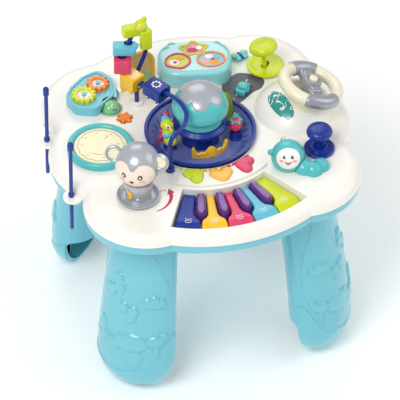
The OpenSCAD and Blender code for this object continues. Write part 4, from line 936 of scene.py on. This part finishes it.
FROG, FROG_LOOK, FROG_AXLE = (-104.0, 85.0), -72, 50
frog = Piece("frog_roller_dressed", placed(*FROG))
frog.add(ball(12.95, 12.95, 12.95, 56, 32, 2.1), GREEN)
axle = turned([(0, -15.5), (1.5, -15.5), (1.5, 15.5), (0, 15.5)], 20)
frog.add(turn_z(turn_y(axle, 90), FROG_AXLE), GREEN)
for s in (-1, 1):
    knob = turn_z(np.array([[-3.6, s * 4.2, 9.0]]), FROG_AXLE)[0]
    frog.add(ball(3.5, 3.5, 3.4, 28, 16) + knob, GREEN)
    frog.add(on_ball(ring(2.4, 28), 3.55, FROG_LOOK, 50, 0.15) + knob, PAPER)
    frog.add(on_ball(ring(1.2, 20), 3.65, FROG_LOOK, 48, 0.15) + knob, INK)
smile = flowing([(-4.6, 0.6), (0, -1.2), (4.6, 0.6), (4.0, -0.1), (0, -2.1), (-4.0, -0.1)], 48)
frog.add(on_ball(smile, 13.1, FROG_LOOK, 34, 0.2), printed("frog line", "#3d7a45"))
frog.make("frog_roller", "frog_roller")
pocket = Piece("roller_pocket_rim", placed(*FROG))
pocket.add(turned(np.vstack([arc(16.0, 0.2, 1.3, 0, 180, 9),
                             [(14.7, -0.6), (17.3, -0.6), (17.3, 0.2)]]), 72),
           plastic("pearl rim", "#b9c4c6", 0.3, 0.4))
pocket.make("table")

flower = Piece("flower_button_dressed", placed(-91, 60))
grid = moulding(lobed(9.35, 2.25, 6), -4.0, 3.4, 1.8, steps=7)
rad = np.hypot(grid[..., 0], grid[..., 1])
lump = 0.9 * np.cos(6 * np.arctan2(grid[..., 1], grid[..., 0]))
lump *= np.clip(rad / 8, 0, 1) * np.clip(1.3 - rad / 11, 0, 1)
grid[..., 2] += np.where(grid[..., 2] > 3.0, lump - 1.3 * np.exp(-(rad / 2.6) ** 2), 0)
flower.add(grid, ORANGE)
flower.add(ball(2.1, 2.1, 1.0, 24, 12) + [0, 0, 2.6],
           plastic("flower heart", "#f9a24a", 0.26, 0.4))
flower.make("flower_button", "flower_button")


# ---------- printed arrow and dots ----------

arrow = Piece("arrow_print")
path = flowing_path([(-105, -137), (-94, -134), (-84, -126.5), (-77.5, -116.5), (-75.2, -108)], 40)
w = 0.5 + 2.3 * np.linspace(0, 1, 40) ** 0.8
side, high = np.array([-1, 1, 1, -1]), np.array([0, 0, 0.28, 0.28])
section = np.stack([w[:, None] * side, np.broadcast_to(high, (40, 4))], -1)
arrow.add(capped(carried(np.column_stack([path, np.full(40, PRINT)]), section)), CRIMSON)
tip = rounded([(-80.8, -108.6), (-69.3, -107.2), (-75.4, -97.6)], 0.8, 4)
arrow.add(moulding(tip, PRINT, 300.28, 0.05, foot=0.02), CRIMSON)
arrow.make("table")
dots = Piece("small_print")
for k, (x, y, size, finish) in enumerate((
        (-92, -101.5, 1.5, SKY), (-88.5, -99.5, 2.0, AMBER), (-84.5, -98.5, 1.6, GRASS),
        (-81.5, -99.8, 1.2, CRIMSON), (-87.5, -103.2, 1.2, PAPER))):
    blob = lobed(size, size * 0.12, 5, 40, k * 25) + [x, y]
    dots.add(moulding(blob, PRINT, 300.25, 0.05, foot=0.02), finish)
dots.make("table")


# ---------- bead maze ----------

ROUTE = np.array([
    (-62, -62, 296), (-62, -62, 325), (-62.5, -64, 350), (-58, -63, 361), (-46, -57, 365),
    (-35.5, -46, 367), (-30, -33, 370), (-30.5, -19, 372.5), (-35, -4, 374),
    (-42.5, 14, 370.5), (-52.5, 34, 364), (-61.5, 53, 358), (-69, 63, 356), (-76, 70, 357.5),
    (-82, 76, 363), (-86, 79.5, 371), (-87, 81, 382), (-86, 83, 392), (-82, 85, 401),
    (-77, 87, 410), (-72, 89, 419), (-66, 91, 426), (-58, 92, 428), (-50.5, 93, 423),
    (-47, 93, 413), (-48, 92, 401), (-51, 90, 389.5), (-55, 88, 379), (-60, 87, 368),
    (-64, 86, 357), (-66, 84, 340), (-66, 84, 296)], float)
Piece("maze_tube_dressed").add(capped(rope(flowing_path(ROUTE, 240), 3.2, 20)), NAVY).make(
    "table", "maze_tube")
cups = Piece("maze_cups", placed(-66, 84, 0))
cups.add(turned([(3.3, 306.2), (7.2, 306.4), (8.6, 305.6), (9.05, 304.2), (9.1, 301.5),
                 (9.6, 300.3), (9.6, 299.8), (3.3, 299.8), (3.3, 306.2)], 48), WHITE)
cups.place = placed(-62, -62, 0)
cups.add(turned([(3.3, 306.1), (5.0, 306.1), (5.9, 305.4), (6.1, 304.2), (6.1, 301.5),
                 (6.6, 300.3), (6.6, 299.8), (3.3, 299.8), (3.3, 306.1)], 40), NAVY)
cups.make("table")


def bead(outline, z0, z1, edge, way, mouth):
    """Skin and funnel of a bead whose hole runs along z and sideways by way z.

    The hole has radius 4 in the middle and mouth at both ends.
    """
    into, turns = inward(outline), quarter(6)

    def hole(z, r):
        c = np.asarray(way) * z
        return c + unit(outline - c) * r
    near, far = hole(z0, mouth), hole(z1, mouth)
    skin = [(near, z0), ((near + outline + into * edge) / 2, z0)]
    skin += rolled(outline, into, -edge, z0, turns[::-1]) + rolled(outline, into, edge, z1, turns)
    skin += [((far + outline + into * edge) / 2, z1), (far, z1)]
    tube = [(far, z1), (hole(z1 * 0.93, mouth - 0.7), z1 * 0.93), (hole(0, 4.0), 0),
            (hole(z0 * 0.93, mouth - 0.7), z0 * 0.93), (near, z0)]
    return layers(skin), layers(tube)


def block(name, k, yaw, lift=0.0):
    """A block's piece at the route's point k, and how far the route moves there."""
    x, y, z = ROUTE[k]
    return (Piece(name + "_dressed", placed(x, y, z + lift, yaw)),
            turn_z(ROUTE[k + 1] - ROUTE[k - 1], -yaw))


def wheeled(name, k, yaw, length, height, mouth, finish):
    """Rounded block 24 wide that lies along the tube on two stub axles."""
    p, run = block(name, k, yaw)
    skin, tube = bead(box_line(24, height, 2.0), -length / 2, length / 2, 1.1,
                      (run[1] / run[0], run[2] / run[0]), mouth)
    # the funnel through the hole is black as painted shade inside the hole
    p.add(along_x(skin), finish).add(along_x(tube), BLACK)
    e = 11           # half an axle
    wheel = turned([(0, -e), (3.0, -e), (4.0, -e + 1), (4.0, e - 1), (3.0, e), (0, e)], 28)
    button = turned([(0, 0), (1.6, 0), (1.6, 0.35), (0, 0.5)], 20)
    for s in (-1, 1):
        hub = [s * length / 4, 0, -height / 2]
        p.add(along_y(wheel) + hub, finish)
        for side in (-1, 1):
            grid = np.stack([button[..., 0], side * (button[..., 2] + e - 0.1), button[..., 1]], -1)
            p.add(grid + hub, PAPER if finish is NAVY else finish)
    return p


p = wheeled("block_blue", 10, -60, 31, 20, 6.6, NAVY)
p.add(band(lobed(6.4, 1.1, 8, 120), ring(4.6, 120), 9.8, 10.35, 0.15, 2), PAPER)
p.make("block_blue", "block_blue")
p = wheeled("block_yellow", 13, -62, 24, 22, 7.4, YELLOW)
p.add(moulding(box_line(17.5, 17.5, 4, 64), 10.6, 11.3, 0.25, 0.2),
      plastic("pale yellow", "#f9df86", 0.3, 0.35))
p.make("block_yellow", "block_yellow")

p, run = block("block_pink", 16, -17, 1)
skin, tube = bead(box_line(24, 24, 2.2), -11, 11, 1.1, run[:2] / run[2], 6.6)
# the funnel through the hole is dark red as painted shade inside the hole
p.add(skin, PINK).add(tube, plastic("painted hole shade", "#6d1f38", 0.5, 0.1))
p.make("block_pink", "block_pink")

p, run = block("block_teal", 18, -17)
skin, tube = bead(box_line(32, 16, 2.4) + [-1, 0], -4, 11, 1.2, run[:2] / run[2], 6.1)
# the funnel through the hole is dark teal as painted shade inside the hole
p.add(skin, SKY).add(tube, plastic("painted teal hole shade", "#1d5f6b", 0.5, 0.1))
arm = pebble(box_line(8, 6.5, 2.0, 48), 0, 18, 1.6)
p.add(turn_y(arm + [4, 3.25, 0], 25) + [5, -11, 4], SKY)
p.make("block_teal", "block_teal")

p, run = block("block_lime", 22, 0)
p.add(pebble(box_line(36, 15, 3.5), -7, 8, 2.4) + [-8, 0, 0], LIME)
p.add(pebble(box_line(17, 10.5, 3.4, 64), -26, 7, 2.6) + [4.5, -11.75, 0], LIME)
head = np.array([-2, -9, 14])
p.add(ball(9, 9, 9, 40, 24) + head, LIME)
p.add(ball(4, 4, 4, 24, 14) + [5, -3, 19], LIME)
for s in (-24, 24):
    p.add(on_ball(ring(1.5, 24), 9.0, -100 + s, 18, 0.15) + head, PAPER)
    p.add(on_ball(ring(0.8, 20), 9.1, -100 + s, 18, 0.2) + head, INK)
p.add(on_ball(oval(2.4, 1.6, 28), 9.0, -100, -8, 0.6) + head, YELLOW)
p.make("block_lime", "block_lime")


# ---------- arched page ----------

def arch(w, h, low):
    """Outline of an arch: straight sides and a half circle on top."""
    r = w / 2
    top = arc(0, h - r, r, 0, 180, 40)
    foot = [(-r + 1.5, low), (r - 1.5, low), (r, low + 1.5)]
    return even(np.vstack([foot, top, [(-r, low + 1.5)]]), 120)


page = Piece("arched_page_dressed", placed(-55, 117, 305, 11.7))
page.add(along_y(hoop(arch(54, 60, -2), arch(44, 55, 4.5), -2, 2, 1.1)), YELLOW)
page.add(along_y(pebble(arch(44.4, 55.2, 4.3), -1.0, 1.0, 0.2)),
         plastic("page panel", "#e9bd73", 0.4, 0.15, 0.07))
hill = flowing([(-19, 8), (19, 8), (19.5, 15), (10, 20), (2, 15.5), (-9, 23), (-19.5, 16)], 80)
hill = moulding(hill, 0.9, 1.3, 0.2, centre=(0, 12))
sun = moulding(ring(6.0, 48) + [0, 37], 0.9, 1.35, 0.2, 0.1)
for s in (-1, 1):
    page.add(along_y(sun * [1, 1, s]), YELLOW)
    page.add(along_y(hill * [1, 1, s]), GREEN)
pin = turned([(0, -31.5), (2.2, -31.5), (2.5, -31.1), (2.5, 31.1), (2.2, 31.5), (0, 31.5)], 20)
page.add(along_x(pin), YELLOW)
page.make("arched_page", "arched_page")


# ---------- music box ----------

ON_BOX = placed(31, 127, yaw=-13)
line = box_line(104, 72, 32, 160)
Piece("music_box_dressed", ON_BOX).add(moulding(line, 0.2, 27, 6.5, steps=9), PALE_AQUA).make(
    "table", "music_box")
windows = Piece("box_windows_dressed", ON_BOX)
windows.add(moulding(line + inward(line) * 5.6, 26.6, 28.4, 1.0),
            plastic("box face", "#b9e8ea", 0.3, 0.35))
pear = flowing([(0, -17.0), (10.5, -14.5), (18.5, -4), (16.5, 8), (4, 16.5), (-9, 13.5),
                (-17.5, 3), (-16, -10)], 120)
for x, y, outer, rim, name, code in (
        (0, 14.5, lobed(15.2, 2.7, 5, 150, 92) * [1.22, 0.93], LIME, "window rose", "#e88fa0"),
        (-24.5, -10, pear, PINK, "window green", "#c9d64f"),
        (22.5, -9.5, oval(20.6, 16.8, 120), ORANGE, "window sky", "#8cc4dc")):
    inner = outer + inward(outer) * 2.8
    windows.add(band(outer, inner, 27.6, 30.8, 1.1, 5) + [x, y, 0], rim)
    windows.add(moulding(inner - inward(inner) * 0.2, 27.8, 28.9, 0.05) + [x, y, 0],
                plastic(name, code, 0.35, 0.3))
for x, y, a, b, finish, z in (
        (-2, 12, 7.5, 5.0, CRIMSON, 28.85), (7, 17, 4.6, 4.0, PAPER, 28.9),
        (1, 19, 3.6, 3.0, BLUSH, 29.1), (-9, 17, 3.4, 2.6, AMBER, 29.0),
        (-29, -13, 6.6, 5.4, PAPER, 28.85), (-20, -5, 6.0, 4.4, AMBER, 28.9),
        (-29, -2, 3.6, 3.0, GRASS, 29.1), (-28, -13, 3.0, 2.6, CRIMSON, 29.1),
        (14, -13, 6.4, 5.6, BLUSH, 28.85), (27, -14, 7.2, 5.0, AMBER, 28.9),
        (20, -3, 5.6, 4.0, PAPER, 28.95), (31, -4, 4.4, 5.0, SKY, 29.1),
        (25, -9, 2.6, 2.4, CRIMSON, 29.15)):
    windows.add(moulding(oval(a, b, 44), z, z + 0.35, 0.08, foot=0.02) + [x, y, 0], finish)
crescent = flowing([(-6, 0), (-3.4, 2.6), (0, 3.5), (3.4, 2.6), (6, 0), (3, 0.6), (0, 1.0),
                    (-3, 0.6)], 60)
crescent = moulding(crescent, 28.2, 29.2, 0.5, 0.1)
for x, y, aim in ((-39, 17, 125), (-31, 26, 110), (34, 24, 55), (41, 16, 35)):
    windows.add(turn_z(crescent, aim - 90) + [x, y, 0], TEAL)
windows.make("table", "box_windows")


# ---------- butterfly, road and car ----------

fly = Piece("butterfly_dressed", placed(101, 135, yaw=15))
UPPER = [(0.6, 0.5), (5, -1.5), (11.5, 0.5), (12.3, 6), (7.5, 9.2), (2.2, 6.0)]
LOWER = [(0.6, -0.5), (2.2, -6.2), (6.2, -8.3), (9.3, -5), (8.0, -1.2), (4, 0.4)]
for s in (-1, 1):
    for points, z1, edge in ((UPPER, 6.2, 1.5), (LOWER, 5.9, 1.4)):
        wing = flowing([(s * x, y) for x, y in points][::s], 60)
        fly.add(pebble(wing, 2.3, z1, edge), TEAL)
    fly.add(moulding(oval(2.6, 2.0, 30) + [s * 7.4, 4.6], 6.0, 6.5, 0.2), LIME)
fly.add(turn_x(ball(2.2, 2.2, 8.2, 24, 16), 90) + [0, 0.5, 5.0], NAVY)
fly.add(turned([(0, 0.4), (4, 0.4), (3.8, 3), (2, 4.5), (0, 5)], 30), TEAL)
fly.make("butterfly", "butterfly")

road = Piece("road_print")
edge = flowing([(56, 78), (62, 93), (76, 101), (90, 105), (108, 95), (118, 80), (110, 66), (96, 60),
                (84, 52), (70, 44), (58, 50), (60, 64)], 140)
road.add(moulding(edge, PRINT, 300.16, 0.03, foot=0.02, centre=(86, 76)),
         printed("road grey", "#5d5f66", 0.5))
line = flowing_path([(64, 52), (76, 66), (88, 78), (97, 90)], 60)
dash = moulding(box_line(5.0, 1.3, 0.4, 24), 300.1, 300.3, 0.03, foot=0.02)
for k in (2, 14, 42, 54):
    d = line[min(k + 4, 59)] - line[max(k - 4, 0)]
    road.add(turn_z(dash, np.degrees(np.arctan2(d[1], d[0]))) + [*line[k], 0], PAPER)
road.make("table")

car = Piece("toy_car_dressed", placed(83, 67, yaw=49))
car.add(pebble(box_line(24, 18, 5.5, 96), 0.4, 8.2, 2.6, foot=0.6), TEAL)
cab = pebble(box_line(13, 15, 4.2, 96), 6.6, 13.2, 3.4)
cab[..., 0] *= 1 - 0.12 * np.clip((cab[..., 2] - 8) / 5, 0, 1)
car.add(cab + [-0.5, 0, 0], TEAL)
wheel = turned([(0, 0), (3.2, 0), (3.6, 0.4), (3.6, 1.1), (2.6, 1.5), (0, 1.5)], 28)
for x in (-7, 7):
    for s in (-1, 1):
        grid = np.stack([wheel[..., 0], s * (wheel[..., 2] + 7.5), wheel[..., 1]], -1)
        car.add(grid + [x, 0, 4.0], NAVY)
car.make("toy_car", "toy_car")


# ---------- lever ----------

LEAN, SLOT_AIM = 8.0, 50         # the lever's lean at rest and its slot's direction
PIVOT = np.array([127.0, 103.0, 288.0])
lever = Piece("shift_lever_dressed",
              lambda grid: turn_z(turn_y(grid, -LEAN), SLOT_AIM) + PIVOT)
lever.add(ball(8, 8, 8, 36, 20), LIME)
lever.add(along_y(turned([(0, -15), (2.5, -15), (2.5, 15), (0, 15)], 20)), STEEL)
lever.add(turned([(0, 0), (3.4, 0), (3.4, 44), (3.6, 49), (5.5, 52), (0, 55)], 32), LIME)
profile = np.vstack([[(0, -7), (11, -7), (13.5, -6.4)], arc(14.0, 0, 6.4, -75, 62, 12),
                     [(15.4, 5.6), (13.4, 6.4), (12.4, 6.0), (11.2, 6.3), (7, 6.9), (0, 7)]])
grid = knurled(turned(profile, 96), 0.018, 18, lambda r: r > 17)
lever.add(turn_y(turn_x(grid, -12), 12) + [0, 0, 59], LIME)
lever.make("shift_lever", "shift_lever")


def slotted(profile):
    """Disc with a long slot: rows blend from a stadium at the slot to circles outside."""
    t = angles(120)
    slot = spun(4.6, t)
    reach = (TOP + 9 - PIVOT[2]) * np.tan(np.radians(LEAN)) + 1
    slot[:, 0] += reach * np.tanh(4 * np.cos(t))
    rows = []
    for r, z in profile:
        share = np.clip((r - 5) / 10, 0, 1)
        rows.append((slot * (1 - share) + spun(r, t) * share, z))
    return layers(rows)


guard = Piece("lever_guard_dressed", placed(*PIVOT[:2], yaw=SLOT_AIM))
guard.add(slotted([(5, 0.3), (5, 7.6), (5.6, 8.1), (9, 8.2), (14, 8.0), (19, 8.3), (22, 8.9),
                   (24.6, 8.9), (26, 8.1), (26.4, 6.6), (25.4, 4.6), (22, 1.5), (20.4, 0.3),
                   (5, 0.3)]), LIME)
guard.make("table", "lever_guard")


# ---------- console, wheel and horn ----------

def scribble(f, plain):
    """White lines that follow a level of soft noise, kept inside the sticker's edge."""
    line = (f.noise(70.0, 1.0) - 0.5).math("ABSOLUTE") < 0.016
    return f.mix(line, plain, linear("#eef7f4"))


CONSOLE_R = 66.47    # the console is the top of a ball, its crown at 334
sticker = Piece("console_sticker", placed(142, 12, 334 - CONSOLE_R))
sticker.add(on_ball(oval(27, 12.6, 100, 2.2), CONSOLE_R, -152, 62, 0.3, 165),
            plastic("sticker teal", "#26958f", 0.3, 0.35, base=scribble))
sticker.make("table")


def on_wheel(grid):
    """Placement at the hub, tilted about y."""
    return turn_y(grid, 19) + [160, 0, 346]


WHEEL_R = 38.5       # middle of the rim
wheel = Piece("steering_wheel_dressed", on_wheel)
circle = np.column_stack([ring(WHEEL_R, 144), np.zeros(144)])
wheel.add(rope(circle, 9.0, 32, closed=True)[list(range(144)) + [0]], WHEEL_CREAM)
for a0, a1 in ((61, 119), (-119, -49)):
    path = np.column_stack([arc(0, 0, WHEEL_R, a0, a1, 41), np.zeros(41)])
    u = np.linspace(-1, 1, 41)
    r = 9.05 + 1.4 * np.minimum(1, (1 - abs(u)) / 0.10) ** 0.5
    wheel.add(capped(rope(path, r, 32)), SILVER)
wheel.add(pebble(box_line(19, 72, 5, 96), -5.8, 5.8, 3.0), SILVER)
wheel.add(pebble(box_line(16, 48, 5, 96), 0, 8.8, 2.6), SILVER)
wheel.add(turned([(0, -9), (12.0, -9), (13, -8), (13, 10.4), (12.5, 11.5), (11.4, 12.0),
                  (8.6, 12.0), (7.9, 11.4), (7.6, 10.2), (0, 10.2)], 72), SILVER)
wheel.make("wheel", "steering_wheel")
horn = Piece("horn_button_dressed", on_wheel)
horn.add(turned(np.vstack([[(0, 5.3), (6.4, 5.3), (6.4, 12.4)], arc(3.4, 12.3, 3.0, 0, 90, 8),
                           [(0, 15.3)]]), 56), WHEEL_CREAM)
horn.make("horn", "horn_button")
collar = Piece("column_collar", on_wheel)
collar.add(turned([(6.1, -12.8), (24.6, -12.8), (26.3, -13.5), (27.1, -15.0), (27.2, -18),
                   (27.2, -33), (6.1, -33), (6.1, -12.8)], 72), WHEEL_CREAM)
collar.make("table")


# ---------- plunger ----------

ON_PLUNGER = placed(146, -82)
plunger = Piece("plunger_dressed", ON_PLUNGER)
profile = np.vstack([[(0, 26), (8, 26), (10.5, 26.3)], arc(11.6, 33, 6.7, -80, 60, 12),
                     [(14.6, 38.7), (13.2, 39.3), (12.2, 38.8), (11.0, 39.2), (6, 39.9), (0, 40)]])
plunger.add(knurled(turned(profile, 120), 0.028, 20, lambda r: np.clip((r - 13.5) / 3, 0, 1)), NAVY)
plunger.add(turned([(0, -6), (7.4, -6), (7.4, 22), (8.4, 26.5), (0, 27)], 40), NAVY)
plunger.make("plunger", "plunger")
guard = Piece("plunger_guard_dressed", ON_PLUNGER)
guard.add(turned([(7.9, 0.2), (19.5, 0.2), (21.3, 1.8), (21.45, 4.6), (20.6, 5.7), (19.0, 5.95),
                  (16, 5.0), (13.0, 4.6), (12.2, 5.4), (11.9, 7.5), (11.2, 8.0), (8.6, 8.0),
                  (7.9, 7.4), (7.9, 0.2)], 80), NAVY)
guard.make("table", "plunger_guard")


# ---------- long bug ----------

BUG, BUG_LOOK = (97, -95), (-108, 32)        # place, and the way the face looks
bug = Piece("bug_head_dressed", placed(*BUG, 312))
grid = ball(23.9, 23.9, 23.9, 72, 44)
grid[..., 2] = np.maximum(grid[..., 2], -11.6)
bug.add(grid, TEAL)
bug.add(turned([(0, -15.5), (4, -15.5), (4, -11.8), (0, -11.8)], 24), TEAL)
bug.add(on_ball(oval(16.2, 14.6, 90), 23.95, *BUG_LOOK, 0.45), PAPER)
for s in (-1, 1):
    bug.add(on_ball(oval(2.0, 2.5, 36) + [s * 5.6, 2.4], 24.3, *BUG_LOOK, 0.35), INK)
    bug.add(on_ball(ring(0.8, 20) + [s * 5.6 + 0.6, 3.3], 24.5, *BUG_LOOK, 0.35), PAPER)
    bug.add(on_ball(oval(2.6, 1.7, 30) + [s * 9.2, -3.2], 24.3, *BUG_LOOK, 0.3), BLUSH)
smile = flowing([(-5.5, -3.4), (0, -6.8), (5.5, -3.4), (3.6, -5.9), (0, -8.2), (-3.6, -5.9)], 60)
bug.add(on_ball(smile, 24.3, *BUG_LOOK, 0.3), CRIMSON)
bug.add(ball(4, 4, 4, 24, 14) + [-3, 14, 18], TEAL)
bug.add(turned([(0, 18), (2, 18), (2, 26.5), (1.4, 27.6), (0, 28)], 20) + [-3, 13, 0], CREAM)
bug.add(ball(4.5, 4.5, 4.5, 28, 16) + [-24, 4, 10], TEAL)
bug.make("bug_head", "bug_head")

# tail: three lumps on the table, hollowed where the head turns
tail = Piece("bug_tail_dressed", placed(*BUG))
HEAD_GAP, HEAD_AT = 24.95, np.array([0, 0, 12.0])
for x, y, r in ((17, -19, 13.9), (28, -27, 12.9), (40, -22, 11.9)):
    grid = ball(r, r, r, 48, 28)
    grid[..., 2] = np.maximum(grid[..., 2], -1.9)
    away = grid + [x, y, 2] - HEAD_AT
    far = np.linalg.norm(away, axis=-1, keepdims=True)
    grid = np.where(far < HEAD_GAP, away / np.maximum(far, 1e-6) * HEAD_GAP, away) + HEAD_AT
    grid[..., 2] = np.maximum(grid[..., 2], 0.1)
    tail.add(grid, TEAL)
tail.make("table", "bug_tail")


# ---------- leg relief ----------

def leg_skin(around, z, lift):
    """Points of a leg's outside at an angle round it and a height, pushed out by lift.

    The section is an ellipse whose halves swell by 1 - (z / 265)^1.6 towards the foot and
    close with the foot's quarter round; the leg leans out and bows by 28 t (1 - t).
    """
    t = z / 265
    swell = 1 - np.clip(t, 0, 1) ** 1.6
    foot = 0.24 + 0.76 * np.sqrt(1 - (1 - np.clip(z / 60, 0, 1)) ** 2)
    a, b = (46 + 13 * swell) * foot, (34 + 5 * swell) * foot
    out = 26 * (1 - t) * np.sqrt(2) + 28 * t * (1 - t)
    c, s = np.cos(around), np.sin(around)
    way = unit(np.stack([c / b, s / a], -1))
    return np.stack([out + b * c + way[..., 0] * lift, a * s + way[..., 1] * lift, z], -1)


# height, steepness and discs (u, z, half width, half height) of each raised shape
SHAPES = (
    (3.2, 2.6, ((42, 164, 9, 9), (30, 161, 8, 8), (54, 160, 8, 8), (42, 158, 20, 6))),   # cloud
    (2.8, 2.6, ((-34, 168, 8, 8), (-42, 164, 7, 7), (-27, 163, 7, 7))),                  # cloud
    (3.2, 2.4, ((-18, 190, 9, 9), (-14, 176, 10, 10), (-24, 172, 7, 7))),                # bush
    (3.4, 2.4, ((-6, 148, 9, 9), (10, 145, 9, 9), (3, 134, 13, 10))),                    # bush
    (3.0, 2.4, ((-42, 104, 11, 14), (-50, 90, 9, 9), (-34, 88, 9, 9))),                  # bush
    (4.0, 2.8, ((10, 92, 26, 15), (-16, 84, 12, 11))),                                   # roof
    (3.6, 2.8, ((46, 97, 15, 9), (60, 104, 8, 6))),                                      # cap
    (2.4, 2.8, ((47, 82, 4.2, 15),)))                                                    # stem
HOUSE, DOOR = (2.6, 3.2, ((17, 66, 10, 15),)), (1.2, 3.2, ((17, 64, 5.5, 9),))


def scenery(u, z):
    """Height of the relief at u mm round the leg and z mm up."""
    def raised(high, steep, discs):
        best = np.max([1 - np.sqrt(((u - cu) / ru) ** 2 + ((z - cz) / rz) ** 2)
                       for cu, cz, ru, rz in discs], axis=0)
        return high * np.sin(np.clip(best * steep, 0, 1) * np.pi / 2) ** 0.7
    line = np.interp(u, [-90, -50, -20, 15, 42, 53, 66, 80, 96],
                     [58, 40, 34, 42, 50, 68, 88, 100, 96])
    line = line + 3.0 * np.abs(np.sin(u / 9.0))
    ground = 1.9 * np.clip((line - z) / 2.2, 0, 1) ** 0.7
    seam_u = 38 + 38 * np.sin(np.clip((232 - z) / 90, 0, 1) * np.pi / 2)
    seam = 1.3 * np.exp(-((u - seam_u) / 0.9) ** 2) * (z > 112) * (z < 232)
    return np.max([raised(*shape) for shape in SHAPES]
                  + [raised(*HOUSE) + raised(*DOOR), seam, ground], axis=0)


for sx, sy, name in ((-1, -1, "front_left"), (1, -1, "front_right"),
                     (-1, 1, "back_left"), (1, 1, "back_right")):
    # a closed skin over the leg's outer side that stands proud only where the scenery is
    rise = np.linspace(14, 238, 200)
    w = np.radians(np.linspace(-96, 96, 176))
    around, z = np.meshgrid(w, rise)
    outer = leg_skin(around, z, -0.45 + scenery(around * 55 * (sx * sy), z))
    inner = leg_skin(*np.meshgrid(w[::-6], rise), -1.4)
    grid = turn_z(capped(np.concatenate([outer, inner], axis=1)), np.degrees(np.arctan2(sy, sx)))
    Piece("leg_relief_" + name, placed(sx * 110, sy * 110, 0)).add(grid, AQUA).make("table")


# ---------- stage ----------

def backdrop():
    """Pale floor, even light and a camera at a three-quarter view from above."""
    world = bpy.data.worlds.new("studio")
    bpy.context.scene.world = world
    world.use_nodes = True
    tree = world.node_tree
    soft = tree.nodes["Background"]
    soft.inputs["Color"].default_value = (0.98, 0.99, 1.0, 1)
    soft.inputs["Strength"].default_value = 0.52
    white = tree.nodes.new("ShaderNodeBackground")
    white.inputs["Strength"].default_value = 1.0
    path = tree.nodes.new("ShaderNodeLightPath")
    either = tree.nodes.new("ShaderNodeMixShader")
    for source, socket in ((path.outputs["Is Camera Ray"], either.inputs[0]),
                           (soft.outputs[0], either.inputs[1]),
                           (white.outputs[0], either.inputs[2]),
                           (either.outputs[0], tree.nodes["World Output"].inputs[0])):
        tree.links.new(source, socket)

    floor_mesh = bpy.data.meshes.new("floor")
    floor_mesh.from_pydata([(x * 4, y * 4, -0.0005) for x, y in
                            ((-1, -1), (1, -1), (1, 1), (-1, 1))], [], [(0, 1, 2, 3)])
    paint = bpy.data.materials.new("pale floor")
    paint.use_nodes = True
    surface = paint.node_tree.nodes["Principled BSDF"]
    for socket, value in (("Base Color", (0.97, 0.965, 0.955, 1)), ("Roughness", 0.9),
                          ("Specular IOR Level", 0.1),
                          ("Emission Color", (1.0, 0.985, 0.965, 1)),
                          ("Emission Strength", 0.13)):
        surface.inputs[socket].default_value = value
    floor_mesh.materials.append(paint)
    floor = bpy.data.objects.new("floor", floor_mesh)
    bpy.context.scene.collection.objects.link(floor)

    for name, at, size, power in (("key", (-1.2, -1.1, 2.2), 1.2, 33),
                                  ("side", (1.7, -0.5, 1.5), 1.4, 9),
                                  ("back", (0.2, 1.8, 1.9), 1.4, 10)):
        lamp = bpy.data.lights.new(name, "AREA")
        lamp.energy, lamp.size = power, size
        holder = bpy.data.objects.new(name, lamp)
        holder.location = at
        aim = Vector((0, 0, 0.25)) - Vector(at)
        holder.rotation_euler = aim.to_track_quat("-Z", "Y").to_euler()
        bpy.context.scene.collection.objects.link(holder)

    lens = bpy.data.cameras.new("camera")
    camera = bpy.data.objects.new("camera", lens)
    bpy.context.scene.collection.objects.link(camera)
    bpy.context.scene.camera = camera
    a, e = np.radians(-17.2), np.radians(42.0)
    back = np.array([np.sin(a) * np.cos(e), -np.cos(a) * np.cos(e), np.sin(e)])
    right = np.array([np.cos(a), np.sin(a), 0])
    up = np.cross(back, right)
    # the origin falls at (200.2, 292) of a 400 x 400 view with 706 pixels to the metre
    scale, distance = 706.0, 8.0
    target = right * (200 - 200.2) / scale + up * (292.0 - 200) / scale
    camera.location = Vector(target + back * distance)
    camera.rotation_euler = Vector(back).to_track_quat("Z", "Y").to_euler()
    lens.sensor_width = 36
    lens.lens = scale * distance / 400 * 36
    lens.clip_end = 50
    bpy.context.scene.view_settings.view_transform = "Standard"


backdrop()
